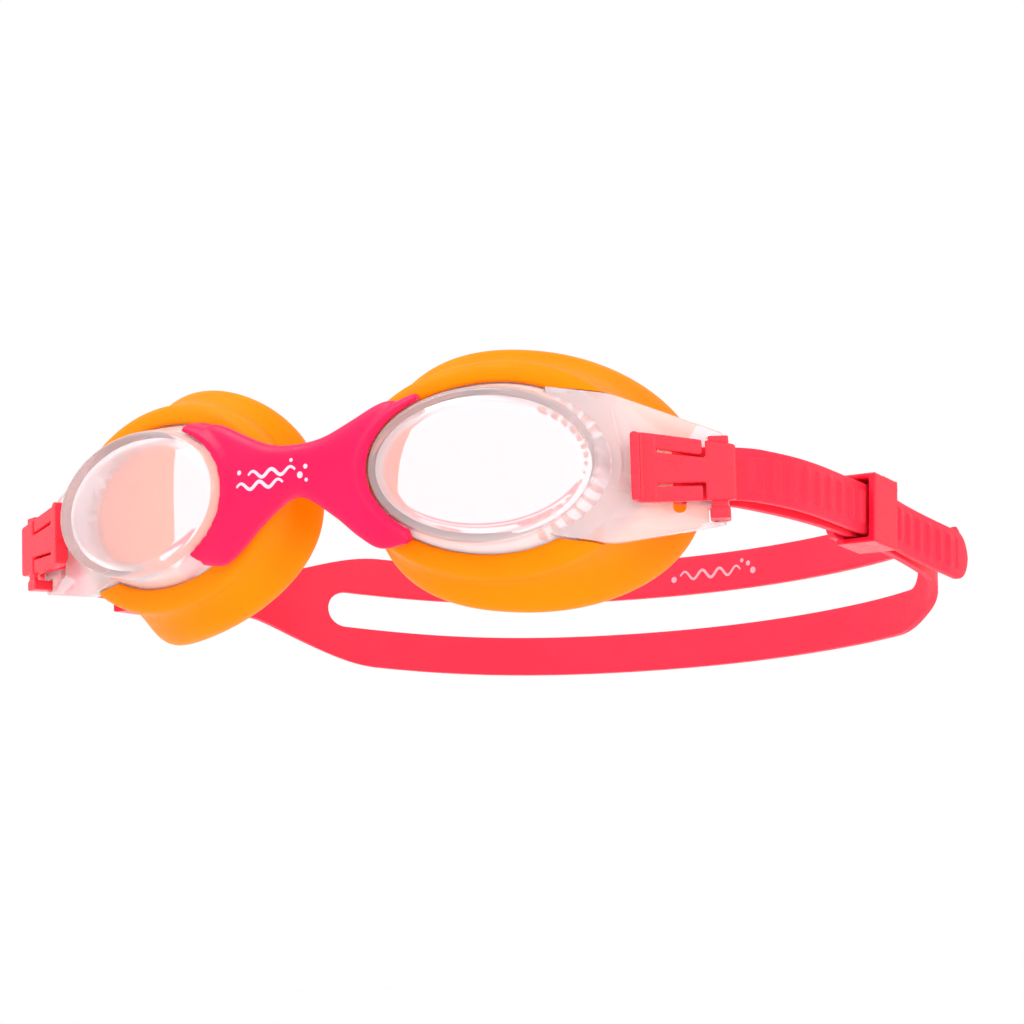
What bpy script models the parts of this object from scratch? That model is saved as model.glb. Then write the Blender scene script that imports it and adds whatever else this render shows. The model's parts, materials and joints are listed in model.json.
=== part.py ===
"""Swim goggles: two clear eye pieces in soft gaskets, a flexible nose bridge and a split strap.

+Z is up and the lenses face -Y. Names ending in _right are on +X, names ending in _left on -X.
Constants are in millimetres and degrees; meshes are made in metres.
"""
import math

import bmesh
import bpy
from mathutils import Matrix, Vector

MM = 0.001
GAP = 0.3
MERGE = 0.00001

# Whole object
FRONT_Y = -62.565
LENS_Z = 22.505

# Eye pieces
EYE_HALF_SPACING = 34.0
EYE_YAW = 10.0
RING_POINTS = 64
ROUND_SIDES = 24
FACE_THICKNESS = 1.9
FACE_HALF_WIDTH = 18.2
FACE_HALF_HEIGHT = 11.3
FACE_EDGE = 0.95
WALL_DEPTH = 7.5
WALL_NOSE = 22.3
WALL_TEMPLE = 19.7
WALL_HALF_HEIGHT = 13.7
WALL_THICKNESS = 1.7
FLANGE_WIDTH = 1.9
FLANGE_THICKNESS = 1.7
OVAL_TILT = -3.0
FACE_ROUND = 0.65
FACE_ROUND_DEPTH = 0.3
INNER_STEP = 0.8

# Side arm with its strap slot
ARM_START = (19.3, 8.35)
ARM_BEND = 16.3
ARM_LENGTH = 18.3
ARM_THICKNESS = 2.2
ARM_ROOT_TOP = 10.4
ARM_ROOT_BOTTOM = -13.4
ARM_TIP_TOP = 3.1
ARM_TIP_BOTTOM = -11.0
ARM_TIP_RADIUS = 2.2
SLOT_FRONT = 9.5
SLOT_REAR = 11.6
SLOT_TOP = 2.5
SLOT_BOTTOM = -9.0
PIN_ALONG = 16.9
PIN_RADIUS = 0.8
PIN_LEDGE_TOP = 1.2
PIN_LEDGE_BOTTOM = 0.7
EAR_HEIGHT_TOP = 1.2
EAR_HEIGHT_BOTTOM = 1.7
EAR_CLEARANCE = 0.2
KNUCKLE_RADIUS = 1.6
NOTCH_HALF_LENGTH = 1.9
NOTCH_CLEARANCE = 0.25
PIN_ROOT = 0.6
ARM_EMBED = 0.9
SLOT_CORNER = 0.9

# Gasket
LIP_FRONT = 6.2
COLLAR_NOSE = 25.8
COLLAR_TEMPLE = 24.6
COLLAR_HALF_HEIGHT = 17.7
COLLAR_REAR = 10.4
RIM_NOSE = 27.0
RIM_TEMPLE = 25.7
RIM_HALF_HEIGHT = 21.3
RIM_CENTRE = (1.4, -1.1)
RIM_TILT = -5.6
RIM_FULLNESS = 2.18
RIM_FRONT = 11.4
RIM_REAR = 18.0
SEAL_SLOPE = 0.234
SEAL_CURVE = 0.0155
LIP_ROUND_DEPTH = 0.5
LIP_ROUND = 0.7
THROAT_DEPTH = 2.0
THROAT_INSET = 0.2
THROAT_SWEEP = 0.3
THROAT_STEP = 0.1
COLLAR_TILT = -4.0
COLLAR_CENTRE = (0.2, -0.2)
LIP_RINGS = ((0.3, -1.2, 0.0), (1.3, 0.0, 0.05))
COLLAR_RINGS = ((-1.3, -0.1, 0.45), (0.0, 0.1, 0.6))
RIM_FRONT_RINGS = ((0.0, -1.6, 0.8), (1.0, -0.5, 0.9), (2.7, 0.0, 1.0))
RIM_REAR_RINGS = (
    (-1.7, -0.5, 1.0),
    (-0.4, -1.5, 1.0),
    (0.0, -2.7, 1.0),
    (-0.8, -3.9, 1.0),
    (-2.6, -4.9, 0.9),
)
PASSAGE_STATIONS = (-9.0, -5.0, 0.0, 21.3)
PASSAGE_FLARE = 0.32
PASSAGE_FRONT = -4.0
PASSAGE_OUT = 14.0

# Clip lever on the arm
CLIP_FRONT = 3.2
CLIP_REAR = 19.6
CLIP_THICKNESS = 1.5
CLIP_FRONT_TOP = 3.7
CLIP_FRONT_BOTTOM = -7.6
CLIP_REAR_TOP = 0.9
CLIP_REAR_BOTTOM = -7.8
CLIP_CORNER = 1.6
CLIP_SLOT_WIDTH = 0.75
TAB_ROOT = 7.6
TAB_END = 14.1
TAB_WIDTH = 2.1
LIP_HEIGHT = 0.9
LIP_LENGTH = 1.5
LIP_EDGE = 0.05
LIP_INSET = 0.2
LIP_SHOULDER = 0.3
LIP_CORNER = 0.5
LIP_SEAT = 0.3
CLIP_REAR_CORNER = 0.6
EAR_SEAT_SHARE = 0.6
EAR_WEB_HALF = 1.2
EAR_WEB_EDGE = 0.5
EAR_WEB_OVERLAP = 0.3
EAR_WEB_LOW = 0.1
EAR_WEB_HIGH = 0.15
TAB_EASE = 0.1
TAB_CORNER = 0.4
HOOK_FRONT = 1.6
HOOK_REAR = 0.2
HOOK_OUTER = 0.5
HOOK_INNER = 1.5
HOOK_REACH = 0.25
HOOK_SEAT = 0.6
CUT_PAST = 1.0

# Strap
STRAP_THICKNESS = 1.3
STRAP_HALF_HEIGHT = 4.5
TAIL_HALF_HEIGHT = 4.2
STRAP_ARM_Z = -3.2
STRAP_SLOPE = 0.0775
SIDE_LIFT = {1: -0.9, -1: 3.1}
LIFT_SKEW = 1.5
STRAP_BEND_RADIUS = 4.6
STRAP_LEAD = 3.2
SIDE_HEADING = 69.4
SIDE_RUNS = ((23.0, 0.0116), (44.0, 0.0062), (11.6, 0.0525))
BACK_HALF_HEIGHT = 10.9
BAND_GAP_HALF = 3.5
TAPER_START = 63.0
TAPER_END = 91.0
SPLIT_AT = 81.0
BANDS_AT = 88.0
LAYER_APART = 4.3
KEEPER_APART = 2.3
TAIL_APART = 6.3
TAIL_END = 66.9
TAIL_DROOP = 1.3
TAIL_NUB = 0.7
NUB_HALF_LENGTH = 0.8
RIB_START = -1.1
RIB_PITCH = 3.5
RIB_HEIGHT = 0.45
RIB_LENGTH = 1.9
RIB_RAMP = 0.25
RIB_MARGIN = 1.2
TAIL_CLOSE_FROM = 4.0
TAIL_CLOSE_LENGTH = 22.0
TAIL_LEAVE_FROM = 42.0
TAIL_LEAVE_START = 36.0
TAIL_END_SQUARED = 0.6
BAR_AHEAD = 2.0
BAR_MIDDLE = 0.35
BAR_FLATTENING = 0.84
BAR_LEAD_OUT = 1.4
TAIL_OVERLAP = 0.2
STATION_APART = 0.5
BACK_STEPS = 20
BEND_STEPS = 8
RUN_STEP = 3.0
SPLIT_SIDES = 20
SPLIT_REACH = 4.0
SPLIT_PAST = 4.0

# Strap keeper
KEEPER_AT = 32.6
HOOP_LENGTH = 8.4
HOOP_WALL = 1.2
HOOP_HALF_HEIGHT = 5.8
HOOP_EASE = 0.4
BASE_FRONT = -8.2
BASE_REAR = 7.0
BASE_HALF_HEIGHT = 5.2
BASE_CORNER = 2.5
BASE_EASE = 0.12

# Nose bridge
BRIDGE_CLEAR = 0.35
GRIP_THICKNESS = 2.7
GRIP_TIP_THICKNESS = 1.3
GRIP_FRONT = 1.1
GRIP_REAR = 5.7
GRIP_START = 124.0
GRIP_END = 234.0
WEB_HALF_WIDTH = 20.0
WEB_TOP = ((0.0, 6.4), (5.3, 7.0), (10.5, 9.1), (15.0, 11.2), (17.5, 11.8), (20.0, 11.4))
WEB_BOTTOM = ((0.0, -2.3), (2.8, -3.2), (7.8, -6.6), (11.6, -9.8), (15.3, -12.0), (20.0, -11.6))
WEB_HALF_DEPTH = 2.0
WEB_END_Y = 0.8
WEB_MIDDLE_Y = -0.6
WEB_SQUARENESS = 0.7
WEB_STEPS = 30
WEB_SIDES = 16
GRIP_STEPS = 18
GRIP_EASE = 0.1
GRIP_ROUND = 1.2
GRIP_FRONT_SHARE = 0.55
GRIP_REAR_SHARE = 0.7

# Colours
CLEAR = (0.95, 0.88, 0.89, 0.35)
ORANGE = (1.0, 0.33, 0.0, 1.0)
MAGENTA = (0.98, 0.014, 0.13, 1.0)
CORAL = (1.0, 0.06, 0.09, 1.0)


for old in list(bpy.data.objects):
    bpy.data.objects.remove(old, do_unlink=True)


def collection(name, hidden=False):
    made = bpy.data.collections.new(name)
    bpy.context.scene.collection.children.link(made)
    made.hide_render = hidden
    return made


GOGGLES = collection("swim_goggles")
CUTTERS = collection("cutters", hidden=True)


def material(name, colour, roughness, transmission=0.0):
    made = bpy.data.materials.new(name)
    made.use_nodes = True
    shader = made.node_tree.nodes["Principled BSDF"]
    shader.inputs["Base Color"].default_value = colour
    shader.inputs["Roughness"].default_value = roughness
    shader.inputs["Transmission Weight"].default_value = transmission
    made.diffuse_color = colour
    return made


MATERIALS = {
    "lens": material("clear_polycarbonate", CLEAR, 0.05, 0.9),
    "gasket": material("orange_silicone", ORANGE, 0.4),
    "bridge": material("magenta_elastomer", MAGENTA, 0.35),
    "clip": material("coral_plastic", CORAL, 0.3),
    "strap": material("coral_silicone", CORAL, 0.45),
}


def to_world(point, side=1):
    """Eye-piece coordinates (outboard, rearward, up) to object millimetres."""
    x, y, z = point
    yaw = math.radians(EYE_YAW)
    return (
        side * (EYE_HALF_SPACING + x * math.cos(yaw) - y * math.sin(yaw)),
        FRONT_Y + x * math.sin(yaw) + y * math.cos(yaw),
        LENS_Z + z,
    )


def arm_point(along, out, z):
    """Arm coordinates (along the arm, outward from it, up) to eye-piece coordinates."""
    bend = math.radians(ARM_BEND)
    return (
        ARM_START[0] + along * math.cos(bend) + out * math.sin(bend),
        ARM_START[1] + along * math.sin(bend) - out * math.cos(bend),
        z,
    )


def mesh_object(name, points, faces, look, home=GOGGLES):
    data = bpy.data.meshes.new(name)
    data.from_pydata([Vector(p) * MM for p in points], [], faces)
    made = bpy.data.objects.new(name, data)
    home.objects.link(made)
    if home is CUTTERS:
        made.display_type = "WIRE"
    turn_outward(made)
    if look:
        data.materials.append(MATERIALS[look])
    return made


def turn_outward(target):
    work = bmesh.new()
    work.from_mesh(target.data)
    bmesh.ops.recalc_face_normals(work, faces=work.faces[:])
    work.to_mesh(target.data)
    work.free()


def loft(rings, closed=False):
    """Quads between equal rings of points; the ends are capped unless the loft closes on itself."""
    count = len(rings[0])
    points = [p for ring in rings for p in ring]
    faces = []
    spans = len(rings) if closed else len(rings) - 1
    for r in range(spans):
        a = r * count
        b = ((r + 1) % len(rings)) * count
        for i in range(count):
            j = (i + 1) % count
            faces.append((a + i, a + j, b + j, b + i))
    if not closed:
        faces.append(tuple(range(count)))
        faces.append(tuple(range(len(points) - count, len(points))))
    return points, faces


def bulge(value, fullness):
    return math.copysign(abs(value) ** (2 / fullness), value)


def oval(
    depth, nose, temple, half_height, tilt=OVAL_TILT, centre=(0.0, 0.0), sweep=0.0, fullness=2.0
):
    """A ring of points, with its own nose and temple widths, swept back towards the temple."""
    ring = []
    lean = math.radians(tilt)
    for i in range(RING_POINTS):
        turn = 2 * math.pi * i / RING_POINTS
        across = bulge(math.cos(turn), fullness) * (temple if math.cos(turn) > 0 else nose)
        up = bulge(math.sin(turn), fullness) * half_height
        x = centre[0] + across * math.cos(lean) - up * math.sin(lean)
        z = centre[1] + across * math.sin(lean) + up * math.cos(lean)
        ring.append((x, depth + sweep * (SEAL_SLOPE * x + SEAL_CURVE * x * x), z))
    return ring


def wall_oval(depth, grow=0.0, sweep=0.0):
    """The outside of the clear wall at a depth, moved outward by grow."""
    share = (depth - FACE_EDGE) / (WALL_DEPTH - FACE_EDGE)
    edge_half_width = FACE_HALF_WIDTH + FACE_EDGE
    edge_half_height = FACE_HALF_HEIGHT + FACE_EDGE
    return oval(
        depth,
        edge_half_width + share * (WALL_NOSE - edge_half_width) + grow,
        edge_half_width + share * (WALL_TEMPLE - edge_half_width) + grow,
        edge_half_height + share * (WALL_HALF_HEIGHT - edge_half_height) + grow,
        sweep=sweep,
    )


def apply_boolean(target, cutter, operation, keep_cutter=False):
    step = target.modifiers.new("boolean", "BOOLEAN")
    step.operation = operation
    step.solver = "EXACT"
    step.object = cutter
    settle(target)
    if not keep_cutter:
        bpy.data.objects.remove(cutter, do_unlink=True)


def settle(target):
    """Replace the mesh with its evaluated form and clear the modifiers."""
    bpy.context.view_layer.update()
    graph = bpy.context.evaluated_depsgraph_get()
    shaped = bpy.data.meshes.new_from_object(target.evaluated_get(graph))
    shaped.name = target.name
    target.modifiers.clear()
    target.data = shaped


def shade(target, angle=38.0):
    for face in target.data.polygons:
        face.use_smooth = True
    target.data.set_sharp_from_angle(angle=math.radians(angle))


def arm_frame():
    """The arm's own axes in object millimetres: along it, up and outward."""
    start = Vector(to_world(arm_point(0.0, 0.0, 0.0)))
    along = Vector(to_world(arm_point(1.0, 0.0, 0.0))) - start
    out = Vector(to_world(arm_point(0.0, 1.0, 0.0))) - start
    return frame_of(start, along, Vector((0.0, 0.0, 1.0)), out)


def frame_of(origin, first, second, third):
    rows = [(first[i], second[i], third[i], origin[i]) for i in range(3)]
    return Matrix((*rows, (0.0, 0.0, 0.0, 1.0)))


def plate(name, outline, frame, inner, outer, look=None, home=CUTTERS):
    """A flat outline in a frame's first two axes, thick from inner to outer along its third."""
    drawing = bpy.data.curves.new(name, "CURVE")
    drawing.dimensions = "2D"
    drawing.fill_mode = "BOTH"
    drawing.extrude = (outer - inner) / 2 * MM
    line = drawing.splines.new("POLY")
    line.points.add(len(outline) - 1)
    for spot, (first, second) in zip(line.points, outline):
        spot.co = (first * MM, second * MM, 0.0, 1.0)
    line.use_cyclic_u = True
    lift = Matrix.Translation((0.0, 0.0, (inner + outer) / 2 * MM))
    sketch = bpy.data.objects.new(name + "_sketch", drawing)
    home.objects.link(sketch)
    sketch.matrix_world = in_metres(frame) @ lift
    bpy.context.view_layer.update()
    data = bpy.data.meshes.new_from_object(sketch)
    data.transform(sketch.matrix_world)
    bpy.data.objects.remove(sketch, do_unlink=True)
    return solid(name, data, look, home)


def in_metres(frame):
    placed = frame.copy()
    placed.translation = frame.translation * MM
    return placed


def solid(name, data, look, home):
    """An object round a mesh already in metres, with its doubled points merged."""
    work = bmesh.new()
    work.from_mesh(data)
    bmesh.ops.remove_doubles(work, verts=work.verts[:], dist=MERGE)
    bmesh.ops.recalc_face_normals(work, faces=work.faces[:])
    work.to_mesh(data)
    work.free()
    data.name = name
    made = bpy.data.objects.new(name, data)
    home.objects.link(made)
    if home is CUTTERS:
        made.display_type = "WIRE"
    data.materials.clear()
    if look:
        data.materials.append(MATERIALS[look])
    return made


def slab(name, outline, inner, outer, look=None, home=CUTTERS):
    """A plate drawn in arm coordinates (along, z), between two distances out from the arm."""
    return plate(name, outline, arm_frame(), inner, outer, look, home)


def block(name, frame, low, high, look=None, home=CUTTERS):
    """A box between two corners given in a frame's axes."""
    size = [(b - a) * MM for a, b in zip(low, high)]
    middle = [(a + b) / 2 * MM for a, b in zip(low, high)]
    shape = Matrix.Translation(middle) @ Matrix.Diagonal((*size, 1.0))
    work = bmesh.new()
    bmesh.ops.create_cube(work, size=1.0, matrix=in_metres(frame) @ shape)
    data = bpy.data.meshes.new(name)
    work.to_mesh(data)
    work.free()
    return solid(name, data, look, home)


def rounded(corners, radii, steps=5):
    """A polygon with each corner rounded to its own radius."""
    outline = []
    count = len(corners)
    for i, radius in enumerate(radii):
        here = Vector(corners[i])
        before = (Vector(corners[i - 1]) - here).normalized()
        after = (Vector(corners[(i + 1) % count]) - here).normalized()
        if radius <= 0:
            outline.append(tuple(here))
            continue
        half = before.angle(after) / 2
        start = here + before * (radius / math.tan(half))
        middle = here + (before + after).normalized() * (radius / math.sin(half))
        end = here + after * (radius / math.tan(half))
        for k in range(steps + 1):
            mix = start.lerp(end, k / steps) - middle
            outline.append(tuple(middle + mix.normalized() * radius))
    return outline


def upright_cylinder(name, along, out, low, high, radius):
    """A round bar parallel to the hinge, placed in arm coordinates."""
    centre = Vector(to_world(arm_point(along, out, (low + high) / 2))) * MM
    work = bmesh.new()
    bmesh.ops.create_cone(
        work,
        cap_ends=True,
        segments=ROUND_SIDES,
        radius1=radius * MM,
        radius2=radius * MM,
        depth=(high - low) * MM,
        matrix=Matrix.Translation(centre),
    )
    data = bpy.data.meshes.new(name)
    work.to_mesh(data)
    work.free()
    return solid(name, data, None, CUTTERS)


def place_origin(target, spot):
    """Move the object's origin to a point in millimetres without moving its surface."""
    shift = Vector(spot) * MM
    for vertex in target.data.vertices:
        vertex.co -= shift
    target.location = shift


def mirrored(source, name):
    """A left-hand twin of a right-hand piece."""
    twin = bpy.data.objects.new(name, source.data.copy())
    twin.data.name = name
    GOGGLES.objects.link(twin)
    for vertex in twin.data.vertices:
        vertex.co.x = -vertex.co.x
    twin.data.flip_normals()
    spot = source.location
    twin.location = (-spot.x, spot.y, spot.z)
    return twin


# Lens: flat face, flared wall and flange in one clear moulding with the side arm
def arm_edge(along, upper):
    share = along / ARM_LENGTH
    root = ARM_ROOT_TOP if upper else ARM_ROOT_BOTTOM
    tip = ARM_TIP_TOP if upper else ARM_TIP_BOTTOM
    return root + (tip - root) * share


def arm_outline():
    corners = [
        (-ARM_EMBED, arm_edge(-ARM_EMBED, True)),
        (ARM_LENGTH, arm_edge(ARM_LENGTH, True)),
        (ARM_LENGTH, arm_edge(ARM_LENGTH, False)),
        (-ARM_EMBED, arm_edge(-ARM_EMBED, False)),
    ]
    return rounded(corners, (0, ARM_TIP_RADIUS, ARM_TIP_RADIUS, 0))


def make_lens():
    inner_front = FACE_HALF_WIDTH + FACE_EDGE - WALL_THICKNESS
    flange_rear = WALL_DEPTH + FLANGE_THICKNESS
    rings = [
        oval(0.0, FACE_HALF_WIDTH, FACE_HALF_WIDTH, FACE_HALF_HEIGHT),
        oval(
            FACE_ROUND_DEPTH,
            FACE_HALF_WIDTH + FACE_ROUND,
            FACE_HALF_WIDTH + FACE_ROUND,
            FACE_HALF_HEIGHT + FACE_ROUND,
        ),
        wall_oval(FACE_EDGE),
        wall_oval(WALL_DEPTH),
        wall_oval(WALL_DEPTH, FLANGE_WIDTH),
        oval(
            flange_rear,
            WALL_NOSE + FLANGE_WIDTH,
            WALL_TEMPLE + FLANGE_WIDTH,
            WALL_HALF_HEIGHT + FLANGE_WIDTH,
        ),
        oval(
            flange_rear,
            WALL_NOSE - WALL_THICKNESS,
            WALL_TEMPLE - WALL_THICKNESS,
            WALL_HALF_HEIGHT - WALL_THICKNESS,
        ),
        wall_oval(FACE_THICKNESS + INNER_STEP, -WALL_THICKNESS),
        oval(
            FACE_THICKNESS,
            inner_front - INNER_STEP,
            inner_front - INNER_STEP,
            FACE_HALF_HEIGHT - WALL_THICKNESS,
        ),
    ]
    world = [[to_world(p) for p in ring] for ring in rings]
    points, faces = loft(world)
    lens = mesh_object("lens_right", points, faces, "lens")

    half = ARM_THICKNESS / 2
    arm = slab("arm", arm_outline(), -half, half)
    slot = slab(
        "slot_cutter",
        rounded(
            [
                (SLOT_FRONT, SLOT_TOP),
                (SLOT_REAR, SLOT_TOP),
                (SLOT_REAR, SLOT_BOTTOM),
                (SLOT_FRONT, SLOT_BOTTOM),
            ],
            (SLOT_CORNER,) * 4,
            steps=3,
        ),
        -ARM_THICKNESS,
        ARM_THICKNESS,
    )
    apply_boolean(arm, slot, "DIFFERENCE")
    for low, high in ear_spans():
        notch = slab(
            "notch_cutter",
            [
                (PIN_ALONG - NOTCH_HALF_LENGTH, high + NOTCH_CLEARANCE),
                (ARM_LENGTH + CUT_PAST, high + NOTCH_CLEARANCE),
                (ARM_LENGTH + CUT_PAST, low - NOTCH_CLEARANCE),
                (PIN_ALONG - NOTCH_HALF_LENGTH, low - NOTCH_CLEARANCE),
            ],
            -ARM_THICKNESS,
            ARM_THICKNESS,
        )
        apply_boolean(arm, notch, "DIFFERENCE")
        pin = upright_cylinder(
            "pin", PIN_ALONG, 0.0, low - PIN_ROOT, high + PIN_ROOT, PIN_RADIUS
        )
        apply_boolean(arm, pin, "UNION")
    apply_boolean(lens, arm, "UNION")
    return lens


def ear_spans():
    """Heights of the clip's lower and upper ears."""
    upper = arm_edge(PIN_ALONG, True) - PIN_LEDGE_TOP
    lower = arm_edge(PIN_ALONG, False) + PIN_LEDGE_BOTTOM
    return ((lower, lower + EAR_HEIGHT_BOTTOM), (upper - EAR_HEIGHT_TOP, upper))


# Gasket: lip over the flange, collar, wide rolled face seal
def rim_oval(depth, grow, sweep):
    return oval(
        depth,
        RIM_NOSE + grow,
        RIM_TEMPLE + grow,
        RIM_HALF_HEIGHT + grow,
        tilt=RIM_TILT,
        centre=RIM_CENTRE,
        sweep=sweep,
        fullness=RIM_FULLNESS,
    )


def collar_oval(depth, grow, sweep):
    return oval(
        depth,
        COLLAR_NOSE + grow,
        COLLAR_TEMPLE + grow,
        COLLAR_HALF_HEIGHT + grow,
        tilt=COLLAR_TILT,
        centre=COLLAR_CENTRE,
        sweep=sweep,
    )


def make_gasket():
    groove_front = WALL_DEPTH - GAP
    groove_rear = WALL_DEPTH + FLANGE_THICKNESS + GAP
    inner = -WALL_THICKNESS
    rings = [
        wall_oval(LIP_FRONT + LIP_ROUND_DEPTH, GAP),
        wall_oval(LIP_FRONT, GAP + LIP_ROUND),
        *(collar_oval(LIP_FRONT + d, grow, sweep) for d, grow, sweep in LIP_RINGS),
        *(collar_oval(COLLAR_REAR + d, grow, sweep) for d, grow, sweep in COLLAR_RINGS),
        *(rim_oval(RIM_FRONT + d, grow, sweep) for d, grow, sweep in RIM_FRONT_RINGS),
        *(rim_oval(RIM_REAR + d, grow, sweep) for d, grow, sweep in RIM_REAR_RINGS),
        wall_oval(groove_rear + THROAT_DEPTH, inner - THROAT_INSET, THROAT_SWEEP),
        wall_oval(groove_rear, inner + THROAT_STEP - GAP),
        oval(
            groove_rear,
            WALL_NOSE + FLANGE_WIDTH + GAP,
            WALL_TEMPLE + FLANGE_WIDTH + GAP,
            WALL_HALF_HEIGHT + FLANGE_WIDTH + GAP,
        ),
        oval(
            groove_front,
            WALL_NOSE + FLANGE_WIDTH + GAP,
            WALL_TEMPLE + FLANGE_WIDTH + GAP,
            WALL_HALF_HEIGHT + FLANGE_WIDTH + GAP,
        ),
        wall_oval(groove_front, GAP),
    ]
    world = [[to_world(p) for p in ring] for ring in rings]
    points, faces = loft(world, closed=True)
    gasket = mesh_object("gasket_right", points, faces, "gasket")

    half = ARM_THICKNESS / 2
    passage = []
    for along in PASSAGE_STATIONS:
        level = max(along, 0.0)
        top = arm_edge(level, True) + (level - along) * PASSAGE_FLARE + GAP
        bottom = arm_edge(level, False) - GAP
        if along < 0:
            x = ARM_START[0] + along
            front = (x, PASSAGE_FRONT)
            rear = (x, WALL_DEPTH - GAP / 3)
        else:
            front = arm_point(along, PASSAGE_OUT, 0.0)[:2]
            rear = arm_point(along, -half - GAP, 0.0)[:2]
        section = [
            (front[0], front[1], top),
            (rear[0], rear[1], top),
            (rear[0], rear[1], bottom),
            (front[0], front[1], bottom),
        ]
        passage.append([to_world(p) for p in section])
    points, faces = loft(passage)
    cutter = mesh_object("arm_passage", points, faces, None, CUTTERS)
    apply_boolean(gasket, cutter, "DIFFERENCE")
    return gasket


# Clip: lever plate with spring tongues, hinged on the arm's two pins
def clip_level(share, upper):
    front = CLIP_FRONT_TOP if upper else CLIP_FRONT_BOTTOM
    rear = CLIP_REAR_TOP if upper else CLIP_REAR_BOTTOM
    return front + (rear - front) * share


def clip_edge(along, upper):
    return clip_level((along - CLIP_FRONT) / (CLIP_REAR - CLIP_FRONT), upper)


def plate_inner():
    return ARM_THICKNESS / 2 + GAP + STRAP_THICKNESS + RIB_HEIGHT + GAP


def tab_outline(upper):
    """The tongue's corners: both ends of its free edge, then both ends of its slot edge."""
    sign = 1 if upper else -1
    return [
        (along, clip_edge(along, upper) - sign * inset)
        for along, inset in (
            (TAB_ROOT, 0.0),
            (TAB_END, 0.0),
            (TAB_END, TAB_WIDTH),
            (TAB_ROOT, TAB_WIDTH),
        )
    ]


def ear_piece(bottom, top, seat):
    """A knuckle round the pin with a stem that reaches the plate."""
    outline = [(PIN_ALONG - KNUCKLE_RADIUS, -seat)]
    for k in range(ROUND_SIDES // 2 + 1):
        turn = math.pi - math.pi * k / (ROUND_SIDES // 2)
        outline.append(
            (
                PIN_ALONG + KNUCKLE_RADIUS * math.cos(turn),
                KNUCKLE_RADIUS * math.sin(turn),
            )
        )
    outline.append((PIN_ALONG + KNUCKLE_RADIUS, -seat))
    level = arm_frame()
    axes = [level.col[i].to_3d() for i in range(3)]
    lying = frame_of(level.translation, axes[0], -axes[2], axes[1])
    return plate("ear", outline, lying, bottom, top)


def make_clip():
    low = plate_inner()
    high = low + CLIP_THICKNESS
    corners = [
        (CLIP_FRONT, CLIP_FRONT_TOP),
        (CLIP_REAR, CLIP_REAR_TOP),
        (CLIP_REAR, CLIP_REAR_BOTTOM),
        (CLIP_FRONT, CLIP_FRONT_BOTTOM),
    ]
    outline = rounded(corners, (CLIP_CORNER, CLIP_REAR_CORNER, CLIP_REAR_CORNER, CLIP_CORNER))
    clip = slab("clip_right", outline, low, high, "clip", GOGGLES)

    finger = slab(
        "finger_lip",
        rounded(
            [
                (CLIP_FRONT + LIP_EDGE, CLIP_FRONT_TOP - LIP_INSET),
                (CLIP_FRONT + LIP_LENGTH, CLIP_FRONT_TOP - LIP_SHOULDER),
                (CLIP_FRONT + LIP_LENGTH, CLIP_FRONT_BOTTOM + LIP_SHOULDER),
                (CLIP_FRONT + LIP_EDGE, CLIP_FRONT_BOTTOM + LIP_INSET),
            ],
            (LIP_CORNER,) * 4,
            steps=3,
        ),
        low + LIP_SEAT,
        high + LIP_HEIGHT,
    )
    apply_boolean(clip, finger, "UNION")

    seat = low + CLIP_THICKNESS * EAR_SEAT_SHARE
    for (bottom, top), upper in zip(ear_spans(), (False, True)):
        ear = ear_piece(bottom, top, seat)
        edge = clip_edge(PIN_ALONG, upper)
        if upper:
            reach = (edge - EAR_WEB_EDGE, top - EAR_WEB_OVERLAP)
        else:
            reach = (bottom + EAR_WEB_OVERLAP, edge + EAR_WEB_EDGE)
        web = slab(
            "web",
            [
                (PIN_ALONG - EAR_WEB_HALF, reach[1]),
                (PIN_ALONG + EAR_WEB_HALF, reach[1]),
                (PIN_ALONG + EAR_WEB_HALF, reach[0]),
                (PIN_ALONG - EAR_WEB_HALF, reach[0]),
            ],
            low + EAR_WEB_LOW,
            seat - EAR_WEB_HIGH,
        )
        apply_boolean(ear, web, "UNION")
        apply_boolean(clip, ear, "UNION")
        bore = upright_cylinder(
            "bore",
            PIN_ALONG,
            0.0,
            bottom - CUT_PAST,
            top + CUT_PAST,
            PIN_RADIUS + EAR_CLEARANCE,
        )
        apply_boolean(clip, bore, "DIFFERENCE")

    for upper in (True, False):
        sign = 1 if upper else -1
        window = [
            (TAB_ROOT - GAP, clip_edge(TAB_ROOT, upper) + sign * 2 * CUT_PAST),
            (TAB_END + CLIP_SLOT_WIDTH, clip_edge(TAB_END, upper) + sign * 2 * CUT_PAST),
            (
                TAB_END + CLIP_SLOT_WIDTH,
                clip_edge(TAB_END, upper) - sign * (TAB_WIDTH + CLIP_SLOT_WIDTH),
            ),
            (
                TAB_ROOT - GAP,
                clip_edge(TAB_ROOT, upper) - sign * (TAB_WIDTH + CLIP_SLOT_WIDTH),
            ),
        ]
        cutter = slab("tab_window", window, low - CUT_PAST, high + 2 * CUT_PAST)
        apply_boolean(clip, cutter, "DIFFERENCE")
    place_origin(clip, to_world(arm_point(PIN_ALONG, 0.0, 0.0)))
    return clip


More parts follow.
